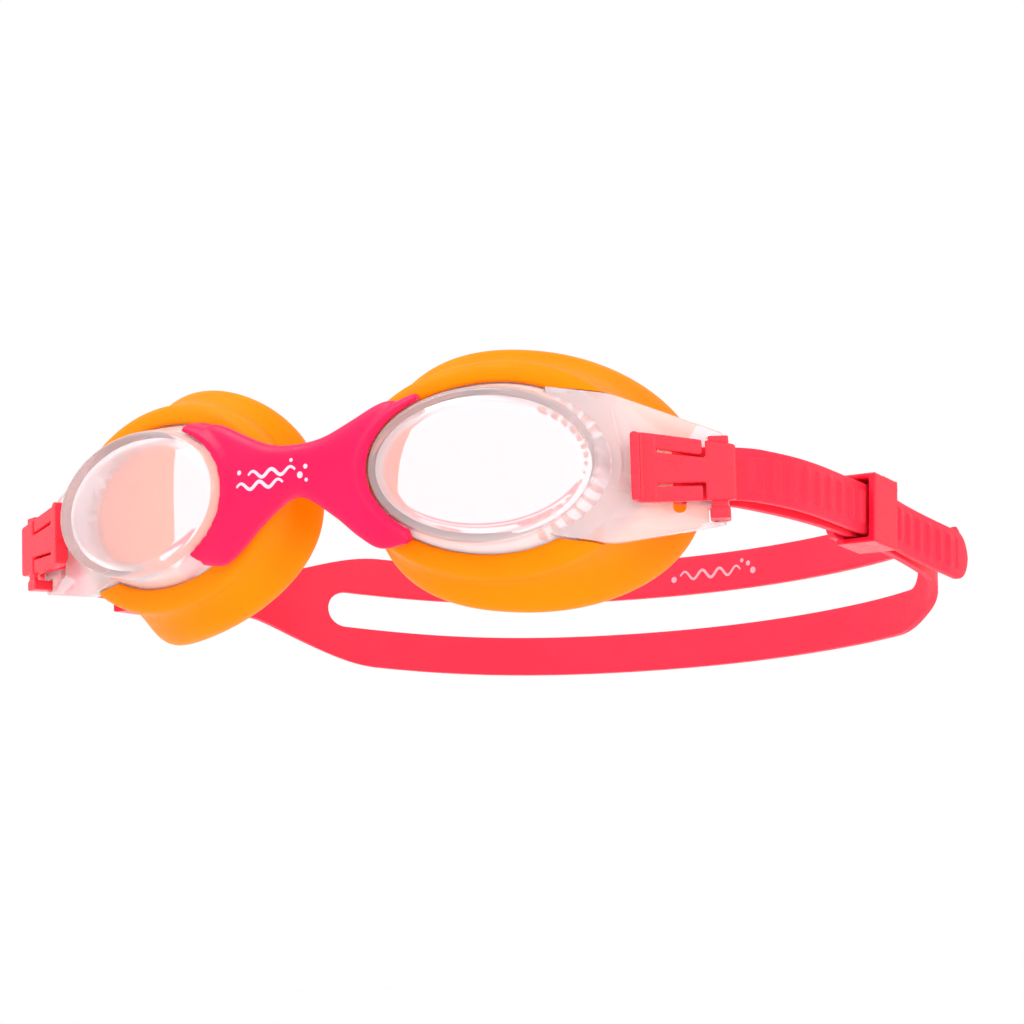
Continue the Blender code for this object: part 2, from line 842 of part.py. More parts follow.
def make_tab(upper):
    low = plate_inner()
    name = "latch_tab_upper_right" if upper else "latch_tab_lower_right"
    sign = 1 if upper else -1
    outline = rounded(tab_outline(upper), (0.0, TAB_CORNER, TAB_CORNER, 0.0))
    tab = slab(name, outline, low + TAB_EASE, low + CLIP_THICKNESS - TAB_EASE, "clip", GOGGLES)
    outline = [
        (along, clip_edge(along, upper) - sign * inset)
        for along, inset in (
            (TAB_END - HOOK_FRONT, HOOK_OUTER),
            (TAB_END - HOOK_REAR, HOOK_OUTER),
            (TAB_END - HOOK_REAR, HOOK_INNER),
            (TAB_END - HOOK_FRONT, HOOK_INNER),
        )
    ]
    hook = slab("hook", outline, low - HOOK_REACH, low + HOOK_SEAT)
    apply_boolean(tab, hook, "UNION")
    root = (TAB_ROOT, low, clip_edge(TAB_ROOT, upper) - sign * TAB_WIDTH / 2)
    place_origin(tab, to_world(arm_point(*root)))
    return tab


# Strap: one path in plan for each side, heights on a gently tilted sheet
def strap_path():
    """Stations of the inner layer: distance behind the arm's tip, x, y and heading."""
    yaw = math.radians(EYE_YAW)
    heading = yaw + math.radians(ARM_BEND)
    behind = -(ARM_THICKNESS / 2 + GAP + STRAP_THICKNESS / 2)
    start = to_world(arm_point(SLOT_REAR + BAR_AHEAD, behind, 0.0))
    turn = math.radians(SIDE_HEADING) - heading
    bend = STRAP_BEND_RADIUS * turn
    runs = [(STRAP_LEAD, 0.0, 2), (bend, 1 / STRAP_BEND_RADIUS, BEND_STEPS)]
    runs += [(length, curve, max(3, round(length / RUN_STEP))) for length, curve in SIDE_RUNS]
    x, y = start[0], start[1]
    stations = [(-STRAP_LEAD - bend, x, y, heading)]
    walked = stations[0][0]
    for length, curve, steps in runs:
        for _ in range(steps):
            step = length / steps
            heading += curve * step / 2
            x += math.cos(heading) * step
            y += math.sin(heading) * step
            heading += curve * step / 2
            walked += step
            stations.append((walked, x, y, heading))
    remaining = math.pi - heading
    radius = x / math.sin(remaining)
    for _ in range(BACK_STEPS):
        step = remaining / BACK_STEPS
        heading += step / 2
        x += math.cos(heading) * radius * 2 * math.sin(step / 2)
        y += math.sin(heading) * radius * 2 * math.sin(step / 2)
        heading += step / 2
        walked += radius * step
        stations.append((walked, x, y, heading))
    return stations


PATH = strap_path()


def along_path(distance):
    """Position and heading on the path at a distance, between its stations."""
    for first, second in zip(PATH, PATH[1:]):
        if distance <= second[0]:
            share = (distance - first[0]) / (second[0] - first[0])
            return tuple(a + (b - a) * share for a, b in zip(first, second))
    return PATH[-1]


def centre_height(y, side):
    """Height of the strap's middle line over the ground at a distance back."""
    front = PATH[0][2]
    rear = PATH[-1][2]
    share = min(max((y - front) / (rear - front), 0.0), 1.0)
    lift = SIDE_LIFT[side] * math.sin(math.pi * share**LIFT_SKEW) ** 2
    return LENS_Z + STRAP_ARM_Z - STRAP_SLOPE * (y - front) + lift


def smooth(share):
    share = min(max(share, 0.0), 1.0)
    return share * share * (3 - 2 * share)


def strap_point(distance, out, height, side):
    """A point on the strap: outward from the inner layer's middle and up its width."""
    _, x, y, heading = along_path(distance)
    up = Vector((0.0, STRAP_SLOPE, 1.0)).normalized()
    px = x + math.sin(heading) * out
    py = y - math.cos(heading) * out
    z = centre_height(y, side)
    spot = Vector((px, py, z)) + up * height
    return (side * spot.x, spot.y, spot.z)


def half_height(distance):
    share = smooth((distance - TAPER_START) / (TAPER_END - TAPER_START))
    return STRAP_HALF_HEIGHT + (BACK_HALF_HEIGHT - STRAP_HALF_HEIGHT) * share


def distances(start, end):
    inside = [s[0] for s in PATH if start + STATION_APART < s[0] < end - STATION_APART]
    return [start] + inside + [end]


def ribbon(name, start, end, low, high, side, look="strap"):
    """A strip of the strap between two distances, with its lower and upper edge as functions."""
    half = STRAP_THICKNESS / 2
    rings = []
    for d in distances(start, end):
        rings.append(
            [
                strap_point(d, -half, low(d), side),
                strap_point(d, half, low(d), side),
                strap_point(d, half, high(d), side),
                strap_point(d, -half, high(d), side),
            ]
        )
    points, faces = loft(rings)
    return mesh_object(name, points, faces, look)


def hand(side):
    return "right" if side > 0 else "left"


def make_side_strap(side):
    made = ribbon(
        "strap_side_" + hand(side),
        PATH[0][0],
        BANDS_AT - GAP,
        lambda d: -half_height(d),
        half_height,
        side,
    )
    rings = []
    for out in (-SPLIT_REACH, SPLIT_REACH):
        ring = []
        for i in range(SPLIT_SIDES + 1):
            turn = math.pi / 2 + math.pi * i / SPLIT_SIDES
            d = SPLIT_AT + BAND_GAP_HALF + BAND_GAP_HALF * math.cos(turn)
            ring.append(strap_point(d, out, BAND_GAP_HALF * math.sin(turn), side))
        tip = BANDS_AT + SPLIT_PAST
        ring.append(strap_point(tip, out, -BAND_GAP_HALF, side))
        ring.append(strap_point(tip, out, BAND_GAP_HALF, side))
        rings.append(ring)
    points, faces = loft(rings)
    cutter = mesh_object("split_cutter", points, faces, None, CUTTERS)
    apply_boolean(made, cutter, "DIFFERENCE")
    return made


def make_band(side, upper):
    name = ("strap_upper_band_" if upper else "strap_lower_band_") + hand(side)
    end = PATH[-1][0] - GAP / 2
    if upper:
        return ribbon(name, BANDS_AT, end, lambda d: BAND_GAP_HALF, half_height, side)
    return ribbon(name, BANDS_AT, end, lambda d: -half_height(d), lambda d: -BAND_GAP_HALF, side)


def tail_out(distance):
    """How far the ribbed layer stands out from the inner layer."""
    close = smooth((distance - TAIL_CLOSE_FROM) / TAIL_CLOSE_LENGTH)
    leave = smooth((distance - TAIL_LEAVE_FROM) / (TAIL_END - TAIL_LEAVE_START))
    return LAYER_APART + (KEEPER_APART - LAYER_APART) * close + (TAIL_APART - KEEPER_APART) * leave


def tail_half(distance):
    """Half height of the ribbed layer, rounded off towards its free end."""
    left = TAIL_END - distance
    if left >= TAIL_HALF_HEIGHT:
        return TAIL_HALF_HEIGHT
    squared = TAIL_HALF_HEIGHT**2 - (TAIL_HALF_HEIGHT - left) ** 2
    return math.sqrt(max(squared, TAIL_END_SQUARED))


def tail_section(distance, side, rib):
    half = STRAP_THICKNESS / 2
    edge = tail_half(distance)
    flat = edge - RIB_MARGIN
    face = half + (RIB_HEIGHT if rib else 0.0)
    top = edge + tail_nub(distance)
    shape = [
        (-half, -edge),
        (half, -edge),
        (half, -flat),
        (face, -flat + RIB_RAMP),
        (face, flat - RIB_RAMP),
        (half, flat),
        (half, top),
        (-half, top),
    ]
    out = tail_out(distance)
    drop = tail_drop(distance)
    return [strap_point(distance, out + n, z - drop, side) for n, z in shape]


def tail_drop(distance):
    """The free end hangs a little lower than the layer under it."""
    share = smooth((distance - KEEPER_AT) / (TAIL_END - KEEPER_AT))
    return TAIL_DROOP * share


def tail_nub(distance):
    """A small pull bump on the upper edge where the rounded end begins."""
    middle = TAIL_END - TAIL_HALF_HEIGHT
    return TAIL_NUB * smooth(1.0 - abs(distance - middle) / NUB_HALF_LENGTH)


def make_tail(side):
    """Turn round the arm's end bar, then the ribbed layer back to its rounded free end."""
    half = STRAP_THICKNESS / 2
    radius = ARM_THICKNESS / 2 + GAP + half
    offset = centre_height(PATH[0][2], side) - LENS_Z
    rings = []

    def bar_ring(along, out, lean):
        ring = []
        for n, z in (
            (-half, -TAIL_HALF_HEIGHT),
            (half, -TAIL_HALF_HEIGHT),
            (half, -TAIL_HALF_HEIGHT + RIB_MARGIN),
            (half, -TAIL_HALF_HEIGHT + RIB_MARGIN + RIB_RAMP),
            (half, TAIL_HALF_HEIGHT - RIB_MARGIN - RIB_RAMP),
            (half, TAIL_HALF_HEIGHT - RIB_MARGIN),
            (half, TAIL_HALF_HEIGHT),
            (-half, TAIL_HALF_HEIGHT),
        ):
            spot = arm_point(
                along + n * math.cos(lean), out + n * math.sin(lean), offset + z
            )
            ring.append(to_world(spot, side))
        return ring

    rings.append(bar_ring(SLOT_REAR + BAR_AHEAD - GAP, -radius, -math.pi / 2))
    centre = SLOT_REAR + BAR_MIDDLE
    for i in range(9):
        turn = -math.pi / 2 - math.pi * i / 8
        rings.append(
            bar_ring(
                centre + radius * math.cos(turn) * BAR_FLATTENING, radius * math.sin(turn), turn
            )
        )
    lead_out = SLOT_REAR + BAR_AHEAD + STRAP_LEAD - BAR_LEAD_OUT
    rings.append(bar_ring(lead_out, radius, math.pi / 2))

    start = PATH[0][0] + STRAP_LEAD - TAIL_OVERLAP
    rings += [tail_section(d, side, False) for d in distances(start, RIB_START - STATION_APART)]
    d = RIB_START
    while d + RIB_LENGTH < TAIL_END - TAIL_HALF_HEIGHT:
        rings.append(tail_section(d, side, False))
        rings.append(tail_section(d + RIB_RAMP, side, True))
        rings.append(tail_section(d + RIB_LENGTH - RIB_RAMP, side, True))
        rings.append(tail_section(d + RIB_LENGTH, side, False))
        d += RIB_PITCH
    shoulder = TAIL_END - TAIL_HALF_HEIGHT
    plain = [shoulder - NUB_HALF_LENGTH, shoulder - NUB_HALF_LENGTH / 2]
    for k in range(7):
        plain.append(TAIL_END - TAIL_HALF_HEIGHT * (1 - math.sin(math.pi / 2 * k / 6)))
    rings += [
        tail_section(spot, side, False) for spot in plain if spot > d - RIB_PITCH + RIB_LENGTH + GAP
    ]
    points, faces = loft(rings)
    return mesh_object("strap_tail_" + hand(side), points, faces, "strap")


# Keeper: base plate under the strap and a hoop round both layers
def make_keeper(side):
    half = STRAP_THICKNESS / 2
    inner_low = -half - GAP
    inner_high = KEEPER_APART + half + RIB_HEIGHT + GAP

    frame = strap_frame(KEEPER_AT, side)
    keeper = block(
        "keeper_" + hand(side),
        frame,
        (-HOOP_LENGTH / 2, -HOOP_HALF_HEIGHT, inner_low - HOOP_WALL),
        (HOOP_LENGTH / 2, HOOP_HALF_HEIGHT, inner_high + HOOP_WALL),
        "clip",
        GOGGLES,
    )
    corners = [
        (BASE_FRONT, BASE_HALF_HEIGHT),
        (BASE_REAR, BASE_HALF_HEIGHT),
        (BASE_REAR, -BASE_HALF_HEIGHT),
        (BASE_FRONT, -BASE_HALF_HEIGHT),
    ]
    base = plate(
        "base",
        rounded(corners, (BASE_CORNER,) * 4, steps=4),
        frame,
        inner_low - HOOP_WALL - BASE_EASE,
        inner_low - BASE_EASE,
    )
    apply_boolean(keeper, base, "UNION")
    opening = block(
        "opening",
        frame,
        (-HOOP_LENGTH, -STRAP_HALF_HEIGHT - HOOP_EASE, inner_low),
        (HOOP_LENGTH, STRAP_HALF_HEIGHT + HOOP_EASE, inner_high),
    )
    apply_boolean(keeper, opening, "DIFFERENCE")
    place_origin(keeper, strap_point(KEEPER_AT, 0.0, 0.0, side))
    return keeper


def strap_frame(distance, side):
    """The strap's own axes at a distance: along it, across its width and outward."""
    start = Vector(strap_point(distance, 0.0, 0.0, side))
    out = (Vector(strap_point(distance, 1.0, 0.0, side)) - start).normalized()
    along = Vector(strap_point(distance + 1.0, 0.0, 0.0, side)) - start
    along = (along - along.project(out)).normalized()
    return frame_of(start, along, out.cross(along), out)


# Nose bridge: soft grips round both lens walls joined by a waisted web
def make_bridge():
    def grip(side):
        rings = []
        for i in range(GRIP_STEPS + 1):
            turn = math.radians(GRIP_START + (GRIP_END - GRIP_START) * i / GRIP_STEPS)
            rise = math.sin(math.pi * i / GRIP_STEPS)
            thick = GRIP_TIP_THICKNESS + (GRIP_THICKNESS - GRIP_TIP_THICKNESS) * rise
            ring = []
            for depth, grow in (
                (GRIP_FRONT, BRIDGE_CLEAR),
                (GRIP_FRONT + GRIP_EASE, BRIDGE_CLEAR + thick * GRIP_FRONT_SHARE),
                (GRIP_FRONT + GRIP_ROUND, BRIDGE_CLEAR + thick),
                (GRIP_REAR - GRIP_ROUND, BRIDGE_CLEAR + thick),
                (GRIP_REAR, BRIDGE_CLEAR + thick * GRIP_REAR_SHARE),
                (GRIP_REAR, BRIDGE_CLEAR),
            ):
                ring.append(to_world(wall_point(depth, grow, turn), side))
            rings.append(ring)
        points, faces = loft(rings)
        return mesh_object("grip", points, faces, "bridge", GOGGLES)

    rings = []
    for i in range(WEB_STEPS + 1):
        share = 2 * i / WEB_STEPS - 1
        top = curve_at(WEB_TOP, abs(share) * WEB_HALF_WIDTH)
        bottom = curve_at(WEB_BOTTOM, abs(share) * WEB_HALF_WIDTH)
        y = WEB_MIDDLE_Y + (WEB_END_Y - WEB_MIDDLE_Y) * share**2
        middle = (top + bottom) / 2
        half = (top - bottom) / 2
        ring = []
        for k in range(WEB_SIDES):
            turn = 2 * math.pi * (k + 0.5) / WEB_SIDES
            across = math.copysign(abs(math.cos(turn)) ** WEB_SQUARENESS, math.cos(turn))
            up = math.copysign(abs(math.sin(turn)) ** WEB_SQUARENESS, math.sin(turn))
            ring.append(
                (
                    share * WEB_HALF_WIDTH,
                    FRONT_Y + y + across * WEB_HALF_DEPTH,
                    LENS_Z + middle + up * half,
                )
            )
        rings.append(ring)
    points, faces = loft(rings)
    bridge = mesh_object("nose_bridge", points, faces, "bridge")
    for side in (1, -1):
        room = [[(x, -GRIP_REAR, z) for x, _, z in wall_oval(FACE_EDGE, BRIDGE_CLEAR)]]
        room += [wall_oval(depth, BRIDGE_CLEAR) for depth in (FACE_EDGE, WALL_DEPTH)]
        points, faces = loft([[to_world(p, side) for p in ring] for ring in room])
        clearance = mesh_object("lens_clearance", points, faces, None, CUTTERS)
        apply_boolean(bridge, clearance, "DIFFERENCE")
    apply_boolean(bridge, grip(1), "UNION")
    apply_boolean(bridge, grip(-1), "UNION")
    return bridge


def curve_at(stations, x):
    """A smooth curve through (x, value) stations, level at the first one."""
    last = len(stations) - 1
    for i in range(last):
        if x <= stations[i + 1][0] or i == last - 1:
            x0, low = stations[i]
            x1, high = stations[i + 1]
            span = x1 - x0
            slope_in = slope_at(stations, i) * span
            slope_out = slope_at(stations, i + 1) * span
            t = (x - x0) / span
            return (
                low * (1 - t) ** 2 * (1 + 2 * t)
                + high * t * t * (3 - 2 * t)
                + slope_in * t * (1 - t) ** 2
                - slope_out * t * t * (1 - t)
            )


def slope_at(stations, i):
    if i == 0:
        return 0.0
    before = stations[i - 1]
    after = stations[min(i + 1, len(stations) - 1)]
    return (after[1] - before[1]) / (after[0] - before[0])


def wall_point(depth, grow, turn):
    share = (depth - FACE_EDGE) / (WALL_DEPTH - FACE_EDGE)
    edge_half_width = FACE_HALF_WIDTH + FACE_EDGE
    edge_half_height = FACE_HALF_HEIGHT + FACE_EDGE
    side = WALL_TEMPLE if math.cos(turn) > 0 else WALL_NOSE
    across = (edge_half_width + share * (side - edge_half_width) + grow) * math.cos(turn)
    up = (edge_half_height + share * (WALL_HALF_HEIGHT - edge_half_height) + grow) * math.sin(turn)
    lean = math.radians(OVAL_TILT)
    return (
        across * math.cos(lean) - up * math.sin(lean),
        depth,
        across * math.sin(lean) + up * math.cos(lean),
    )


def pivot(name, spot):
    made = bpy.data.objects.new(name, None)
    made.empty_display_size = 0.01
    made.location = Vector(spot) * MM
    GOGGLES.objects.link(made)
    return made


lens = make_lens()
gasket = make_gasket()
clip = make_clip()
tabs = [make_tab(True), make_tab(False)]
for piece in (lens, gasket, clip, *tabs):
    shade(piece)
    mirrored(piece, piece.name.replace("_right", "_left"))

shade(make_bridge())
for hand_side in (1, -1):
    shade(make_side_strap(hand_side))
    shade(make_tail(hand_side))
    shade(make_band(hand_side, True))
    shade(make_band(hand_side, False))
    shade(make_keeper(hand_side))

flex = pivot("pivot_bridge_flex", (0.0, FRONT_Y + WEB_MIDDLE_Y, LENS_Z))
bpy.context.view_layer.update()
for piece in list(GOGGLES.objects):
    if piece.type == "MESH" and piece.name.endswith("_right"):
        piece.parent = flex
        piece.matrix_parent_inverse = flex.matrix_world.inverted()
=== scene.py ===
"""The looks of the swim goggles: clear lenses, silicone gaskets and strap, soft bridge, moulded clips."""

import json
import math

import bmesh
import bpy
from mathutils import Matrix, Vector


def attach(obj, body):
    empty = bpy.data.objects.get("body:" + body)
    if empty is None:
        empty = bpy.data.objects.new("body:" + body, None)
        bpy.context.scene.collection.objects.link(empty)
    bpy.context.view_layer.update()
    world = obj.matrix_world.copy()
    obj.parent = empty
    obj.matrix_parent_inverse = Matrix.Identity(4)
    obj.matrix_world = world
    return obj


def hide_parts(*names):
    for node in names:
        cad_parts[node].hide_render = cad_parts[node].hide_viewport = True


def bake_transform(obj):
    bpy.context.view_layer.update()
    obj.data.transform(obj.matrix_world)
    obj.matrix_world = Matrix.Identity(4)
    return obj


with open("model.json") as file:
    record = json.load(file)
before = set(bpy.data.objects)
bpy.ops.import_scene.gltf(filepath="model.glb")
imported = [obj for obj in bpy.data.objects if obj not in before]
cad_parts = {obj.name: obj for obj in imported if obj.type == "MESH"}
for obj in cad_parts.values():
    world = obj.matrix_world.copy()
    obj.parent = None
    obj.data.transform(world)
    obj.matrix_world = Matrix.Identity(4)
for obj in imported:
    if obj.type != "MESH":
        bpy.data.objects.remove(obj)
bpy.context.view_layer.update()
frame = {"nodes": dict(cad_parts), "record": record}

MM = 0.001
MOUNTS = {m["name"]: m for m in frame["record"]["mounts"]}

# Eye pieces, in millimetres and degrees as in the CAD
EYE_HALF_SPACING, FRONT_Y, LENS_Z = (c / MM for c in MOUNTS["lens_front_right"]["pos_m"])
EYE_YAW = math.degrees(math.asin(MOUNTS["lens_front_right"]["axis"][0]))
FACE_HALF_WIDTH = 18.2
FACE_HALF_HEIGHT = 11.3
FACE_EDGE = 0.95
FACE_THICKNESS = 1.9
WALL_DEPTH = 7.5
WALL_NOSE = 22.3
WALL_TEMPLE = 19.7
WALL_HALF_HEIGHT = 13.7
WALL_THICKNESS = 1.7
FLANGE_WIDTH = 1.9
FLANGE_THICKNESS = 1.7
OVAL_TILT = -3.0
GAP = 0.3

# Side arm
ARM_START = (19.3, 8.35)
ARM_BEND = 16.3
ARM_LENGTH = 18.3
ARM_THICKNESS = 2.2
ARM_ROOT_TOP = 10.4
ARM_ROOT_BOTTOM = -13.4
ARM_EMBED = 10.0
ARM_FLARE = 0.15
ARM_FLARE_LOWER = 0.19
ARM_TIP_TOP = 3.1
ARM_TIP_BOTTOM = -11.0
ARM_TIP_RADIUS = 2.2
ARM_ROOT_RADIUS = 14.0
ARM_EDGE_RADIUS = 0.35
ARM_CUT_PAST = 1
SLOT_FRONT = 9.5
SLOT_REAR = 11.6
SLOT_TOP = 2.5
SLOT_BOTTOM = -9.0
SLOT_CORNER = 0.9
SLOT_CORNER_STEPS = 5
PIN_ALONG = 16.9
PIN_RADIUS = 0.8
PIN_LEDGE_TOP = 1.2
PIN_LEDGE_BOTTOM = 0.7
EAR_HEIGHT_TOP = 1.2
EAR_HEIGHT_BOTTOM = 1.7
NOTCH_HALF_LENGTH = 1.9
NOTCH_CLEARANCE = 0.25
PIN_ROOT = 0.6
PIN_SIDES = 28

# Gasket
LIP_FRONT = 6.2
COLLAR_NOSE = 25.8
COLLAR_TEMPLE = 24.6
COLLAR_HALF_HEIGHT = 17.7
COLLAR_REAR = 10.4
RIM_NOSE = 27.0
RIM_TEMPLE = 25.7
RIM_HALF_HEIGHT = 21.3
RIM_CENTRE = (1.4, -1.1)
RIM_TILT = -5.6
RIM_FULLNESS = 2.18
RIM_FRONT = 11.4
RIM_REAR = 18.0
SEAL_SLOPE = 0.234
SEAL_CURVE = 0.0155
CAGE_POINTS = 72
CAGE_CREASE = 0.9
CAGE_LEVELS = 2
# Rings of the cage as (depth, growth) and, past the lip, (depth, growth, sweep)
LIP_RINGS = ((0.55, 0.0), (0.1, 0.25), (0.0, 0.8))
COLLAR_RINGS = ((0.25, -1.3, 0.0), (0.9, -0.25, 0.03), (1.9, 0.1, 0.1))
COLLAR_FOLD = (0.8, 0.0, 0.5)
RIM_FRONT_RINGS = ((-0.1, -1.9, 0.8), (0.6, -0.9, 0.88), (1.6, -0.1, 0.95), (3.0, 0.15, 1.0))
RIM_REAR_RINGS = (
    (1.9, -0.3, 1.0),
    (0.5, -1.3, 1.0),
    (-0.1, -2.6, 1.0),
    (0.7, -3.9, 1.0),
    (2.6, -4.9, 0.9),
)
THROAT_RINGS = ((3.0, 0.1, 0.35), (1.2, -0.25, 0.1))
THROAT_STEP = 0.1
PASSAGE_STATIONS = (-9.0, -5.0, 0.0, ARM_LENGTH + 3)
PASSAGE_FRONT = -4.0
PASSAGE_OUT = 14.0

# Lock teeth on the temple side
TOOTH_COUNT = 15
TOOTH_FIRST = -66
TOOTH_APART = 9.0
TOOTH_HALF_ANGLE = 1.3
TOOTH_ANGLE_STEP = 0.4
TOOTH_LENGTH = 1.3
TOOTH_CLEAR = 0.12
TOOTH_DEPTHS = ((WALL_DEPTH + 0.2, 0.0), (WALL_DEPTH + FLANGE_THICKNESS + 0.8, -0.2))
TOOTH_EDGE_RADIUS = 0.2

# Strap
STRAP_THICKNESS = 1.3
STRAP_HALF_HEIGHT = 4.5
TAIL_HALF_HEIGHT = 4.2
STRAP_ARM_Z = -3.2
STRAP_SLOPE = 0.0775
SIDE_LIFT = {1: -0.9, -1: 3.1}
LIFT_SKEW = 1.5
STRAP_BEND_RADIUS = 4.6
STRAP_LEAD = 3.2
STATION_STEP = 0.5
BACK_STEPS = 90
STRAP_EDGE_RADIUS = 0.32
SIDE_COLUMN = 0.9
BACK_COLUMN = 1.3
STRAP_ROWS = 6
SIDE_HEADING = 69.4
SIDE_RUNS = ((23.0, 0.0116), (44.0, 0.0062), (11.6, 0.0525))
BACK_HALF_HEIGHT = 10.9
BAND_GAP_HALF = 3.5
TAPER_START = 63.0
TAPER_END = 91.0
SPLIT_AT = 81.0
LAYER_APART = 4.3
KEEPER_APART = 2.3
TAIL_APART = 6.3
TAIL_END = 66.9
TAIL_DROOP = 1.3
TAIL_NUB = 0.7
KEEPER_AT = 32.6
RIB_START = -1.1
RIB_PITCH = 3.5
RIB_HEIGHT = 0.45
RIB_LENGTH = 1.9
RIB_RAMP = 0.45
RIB_MARGIN = 1.25
RIB_END_FADE = 0.14
TAIL_CORNER = 0.38
TAIL_STEP = 0.22
TAIL_CLOSE_FROM = 4.0
TAIL_CLOSE_LENGTH = 22.0
TAIL_LEAVE_FROM = 42.0
TAIL_LEAVE_START = 36.0
TAIL_END_SQUARED = 0.15
TAIL_OVERLAP = 0.2
NUB_HALF_LENGTH = 0.9
BAR_AHEAD = 2.0
BAR_MIDDLE = 0.35
BAR_LEAD_IN = 1.2
BAR_LEAD_OUT = 1.4
BAR_FLATTENING = 0.84
BAR_STEPS = 16
END_STEPS = 14

# Nose bridge
BRIDGE_CLEAR = 0.4
GRIP_THICKNESS = 2.7
GRIP_TIP_THICKNESS = 1.3
GRIP_FRONT = 1.1
GRIP_REAR = 5.7
GRIP_START = 124.0
GRIP_END = 234.0
WEB_HALF_WIDTH = 20.0
WEB_TOP = ((0.0, 6.4), (5.3, 7.0), (10.5, 9.1), (15.0, 11.2), (17.5, 11.8), (20.0, 11.4))
WEB_BOTTOM = ((0.0, -2.3), (2.8, -3.2), (7.8, -6.6), (11.6, -9.8), (15.3, -12.0), (20.0, -11.6))
WEB_HALF_DEPTH = 2.0
WEB_END_Y = 0.8
WEB_MIDDLE_Y = -0.6
GRIP_STEPS = 36
GRIP_FRONT_SHARE = 0.55
GRIP_REAR_SHARE = 0.7
WEB_SQUARENESS = 0.7
WEB_STEPS = 60
WEB_SIDES = 32
BRIDGE_VOXEL = 0.24
BRIDGE_PASSES = 9

# Clip tongues
CLIP_FRONT = 3.2
CLIP_REAR = 19.6
CLIP_THICKNESS = 1.5
CLIP_FRONT_TOP = 3.7
CLIP_FRONT_BOTTOM = -7.6
CLIP_REAR_TOP = 0.9
CLIP_REAR_BOTTOM = -7.8
TAB_ROOT = 7.6
TAB_END = 14.1
TAB_WIDTH = 2.1
TAB_ROOT_SUNK = 1.2
TAB_SLOT_EASE = 0.25
TAB_EASE = 0.02
TAB_CORNER = 0.35
TAB_VOXEL = 0.12
TAB_PASSES = 5
CLIP_VOXEL = 0.15
CLIP_PASSES = 8


# ---------------------------------------------------------------- geometry helpers
def hand(side):
    return "right" if side > 0 else "left"


def smooth(share):
    share = min(max(share, 0.0), 1.0)
    return share * share * (3 - 2 * share)


def to_world(point, side=1):
    """Eye-piece coordinates (outboard, rearward, up) to object millimetres."""
    x, y, z = point
    yaw = math.radians(EYE_YAW)
    return (
        side * (EYE_HALF_SPACING + x * math.cos(yaw) - y * math.sin(yaw)),
        FRONT_Y + x * math.sin(yaw) + y * math.cos(yaw),
        LENS_Z + z,
    )


def arm_point(along, out, z):
    """Arm coordinates (along the arm, outward from it, up) to eye-piece coordinates."""
    bend = math.radians(ARM_BEND)
    return (
        ARM_START[0] + along * math.cos(bend) + out * math.sin(bend),
        ARM_START[1] + along * math.sin(bend) - out * math.cos(bend),
        z,
    )


def mesh_object(name, points, faces):
    data = bpy.data.meshes.new(name)
    data.from_pydata([Vector(p) * MM for p in points], [], faces)
    made = bpy.data.objects.new(name, data)
    bpy.context.scene.collection.objects.link(made)
    work = bmesh.new()
    work.from_mesh(data)
    bmesh.ops.recalc_face_normals(work, faces=work.faces[:])
    work.to_mesh(data)
    work.free()
    return made


def loft(rings, closed=False):
    """Quads between equal rings; the ends are capped unless the loft closes on itself."""
    count = len(rings[0])
    points = [p for ring in rings for p in ring]
    faces = []
    for r in range(len(rings) if closed else len(rings) - 1):
        a = r * count
        b = ((r + 1) % len(rings)) * count
        for i in range(count):
            j = (i + 1) % count
            faces.append((a + i, a + j, b + j, b + i))
    if not closed:
        faces.append(tuple(range(count)))
        faces.append(tuple(range(len(points) - count, len(points))))
    return points, faces


def settle(target):
    """Replace the mesh with its evaluated form and clear the modifiers."""
    bpy.context.view_layer.update()
    graph = bpy.context.evaluated_depsgraph_get()
    shaped = bpy.data.meshes.new_from_object(target.evaluated_get(graph))
    shaped.name = target.name
    target.modifiers.clear()
    target.data = shaped


def boolean(target, cutter, operation):
    step = target.modifiers.new("boolean", "BOOLEAN")
    step.operation = operation
    step.solver = "EXACT"
    step.object = cutter
    settle(target)
    bpy.data.objects.remove(cutter, do_unlink=True)


def bevel(target, width, segments=3, angle=35.0):
    step = target.modifiers.new("edge_radius", "BEVEL")
    step.width = width * MM
    step.segments = segments
    step.limit_method = "ANGLE"
    step.angle_limit = math.radians(angle)
    step.use_clamp_overlap = True
    step.harden_normals = False
    settle(target)


def shade(target, angle=40.0):
    for face in target.data.polygons:
        face.use_smooth = True
    target.data.set_sharp_from_angle(angle=math.radians(angle))


def mirrored(source, name):
    twin = bpy.data.objects.new(name, source.data.copy())
    bpy.context.scene.collection.objects.link(twin)
    twin.data.transform(Matrix.Diagonal((-1.0, 1.0, 1.0, 1.0)))
    twin.data.flip_normals()
    return twin


def finish_piece(target, look, body=None, replaced=(), angle=40.0):
    """Gives a finished mesh its material, its body and the CAD nodes it stands for."""
    shade(target, angle)
    target.data.materials.clear()
    target.data.materials.append(look)
    if body:
        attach(target, body)
    if replaced:
        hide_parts(*replaced)


def rounded(corners, radii, steps=8):
    """A polygon with each corner rounded to its own radius."""
    outline = []
    count = len(corners)
    for i, radius in enumerate(radii):
        here = Vector(corners[i])
        before = (Vector(corners[i - 1]) - here).normalized()
        after = (Vector(corners[(i + 1) % count]) - here).normalized()
        if radius <= 0:
            outline.append(tuple(here))
            continue
        half = before.angle(after) / 2
        start = here + before * (radius / math.tan(half))
        middle = here + (before + after).normalized() * (radius / math.sin(half))
        end = here + after * (radius / math.tan(half))
        for k in range(steps + 1):
            mix = start.lerp(end, k / steps) - middle
            outline.append(tuple(middle + mix.normalized() * radius))
    return outline


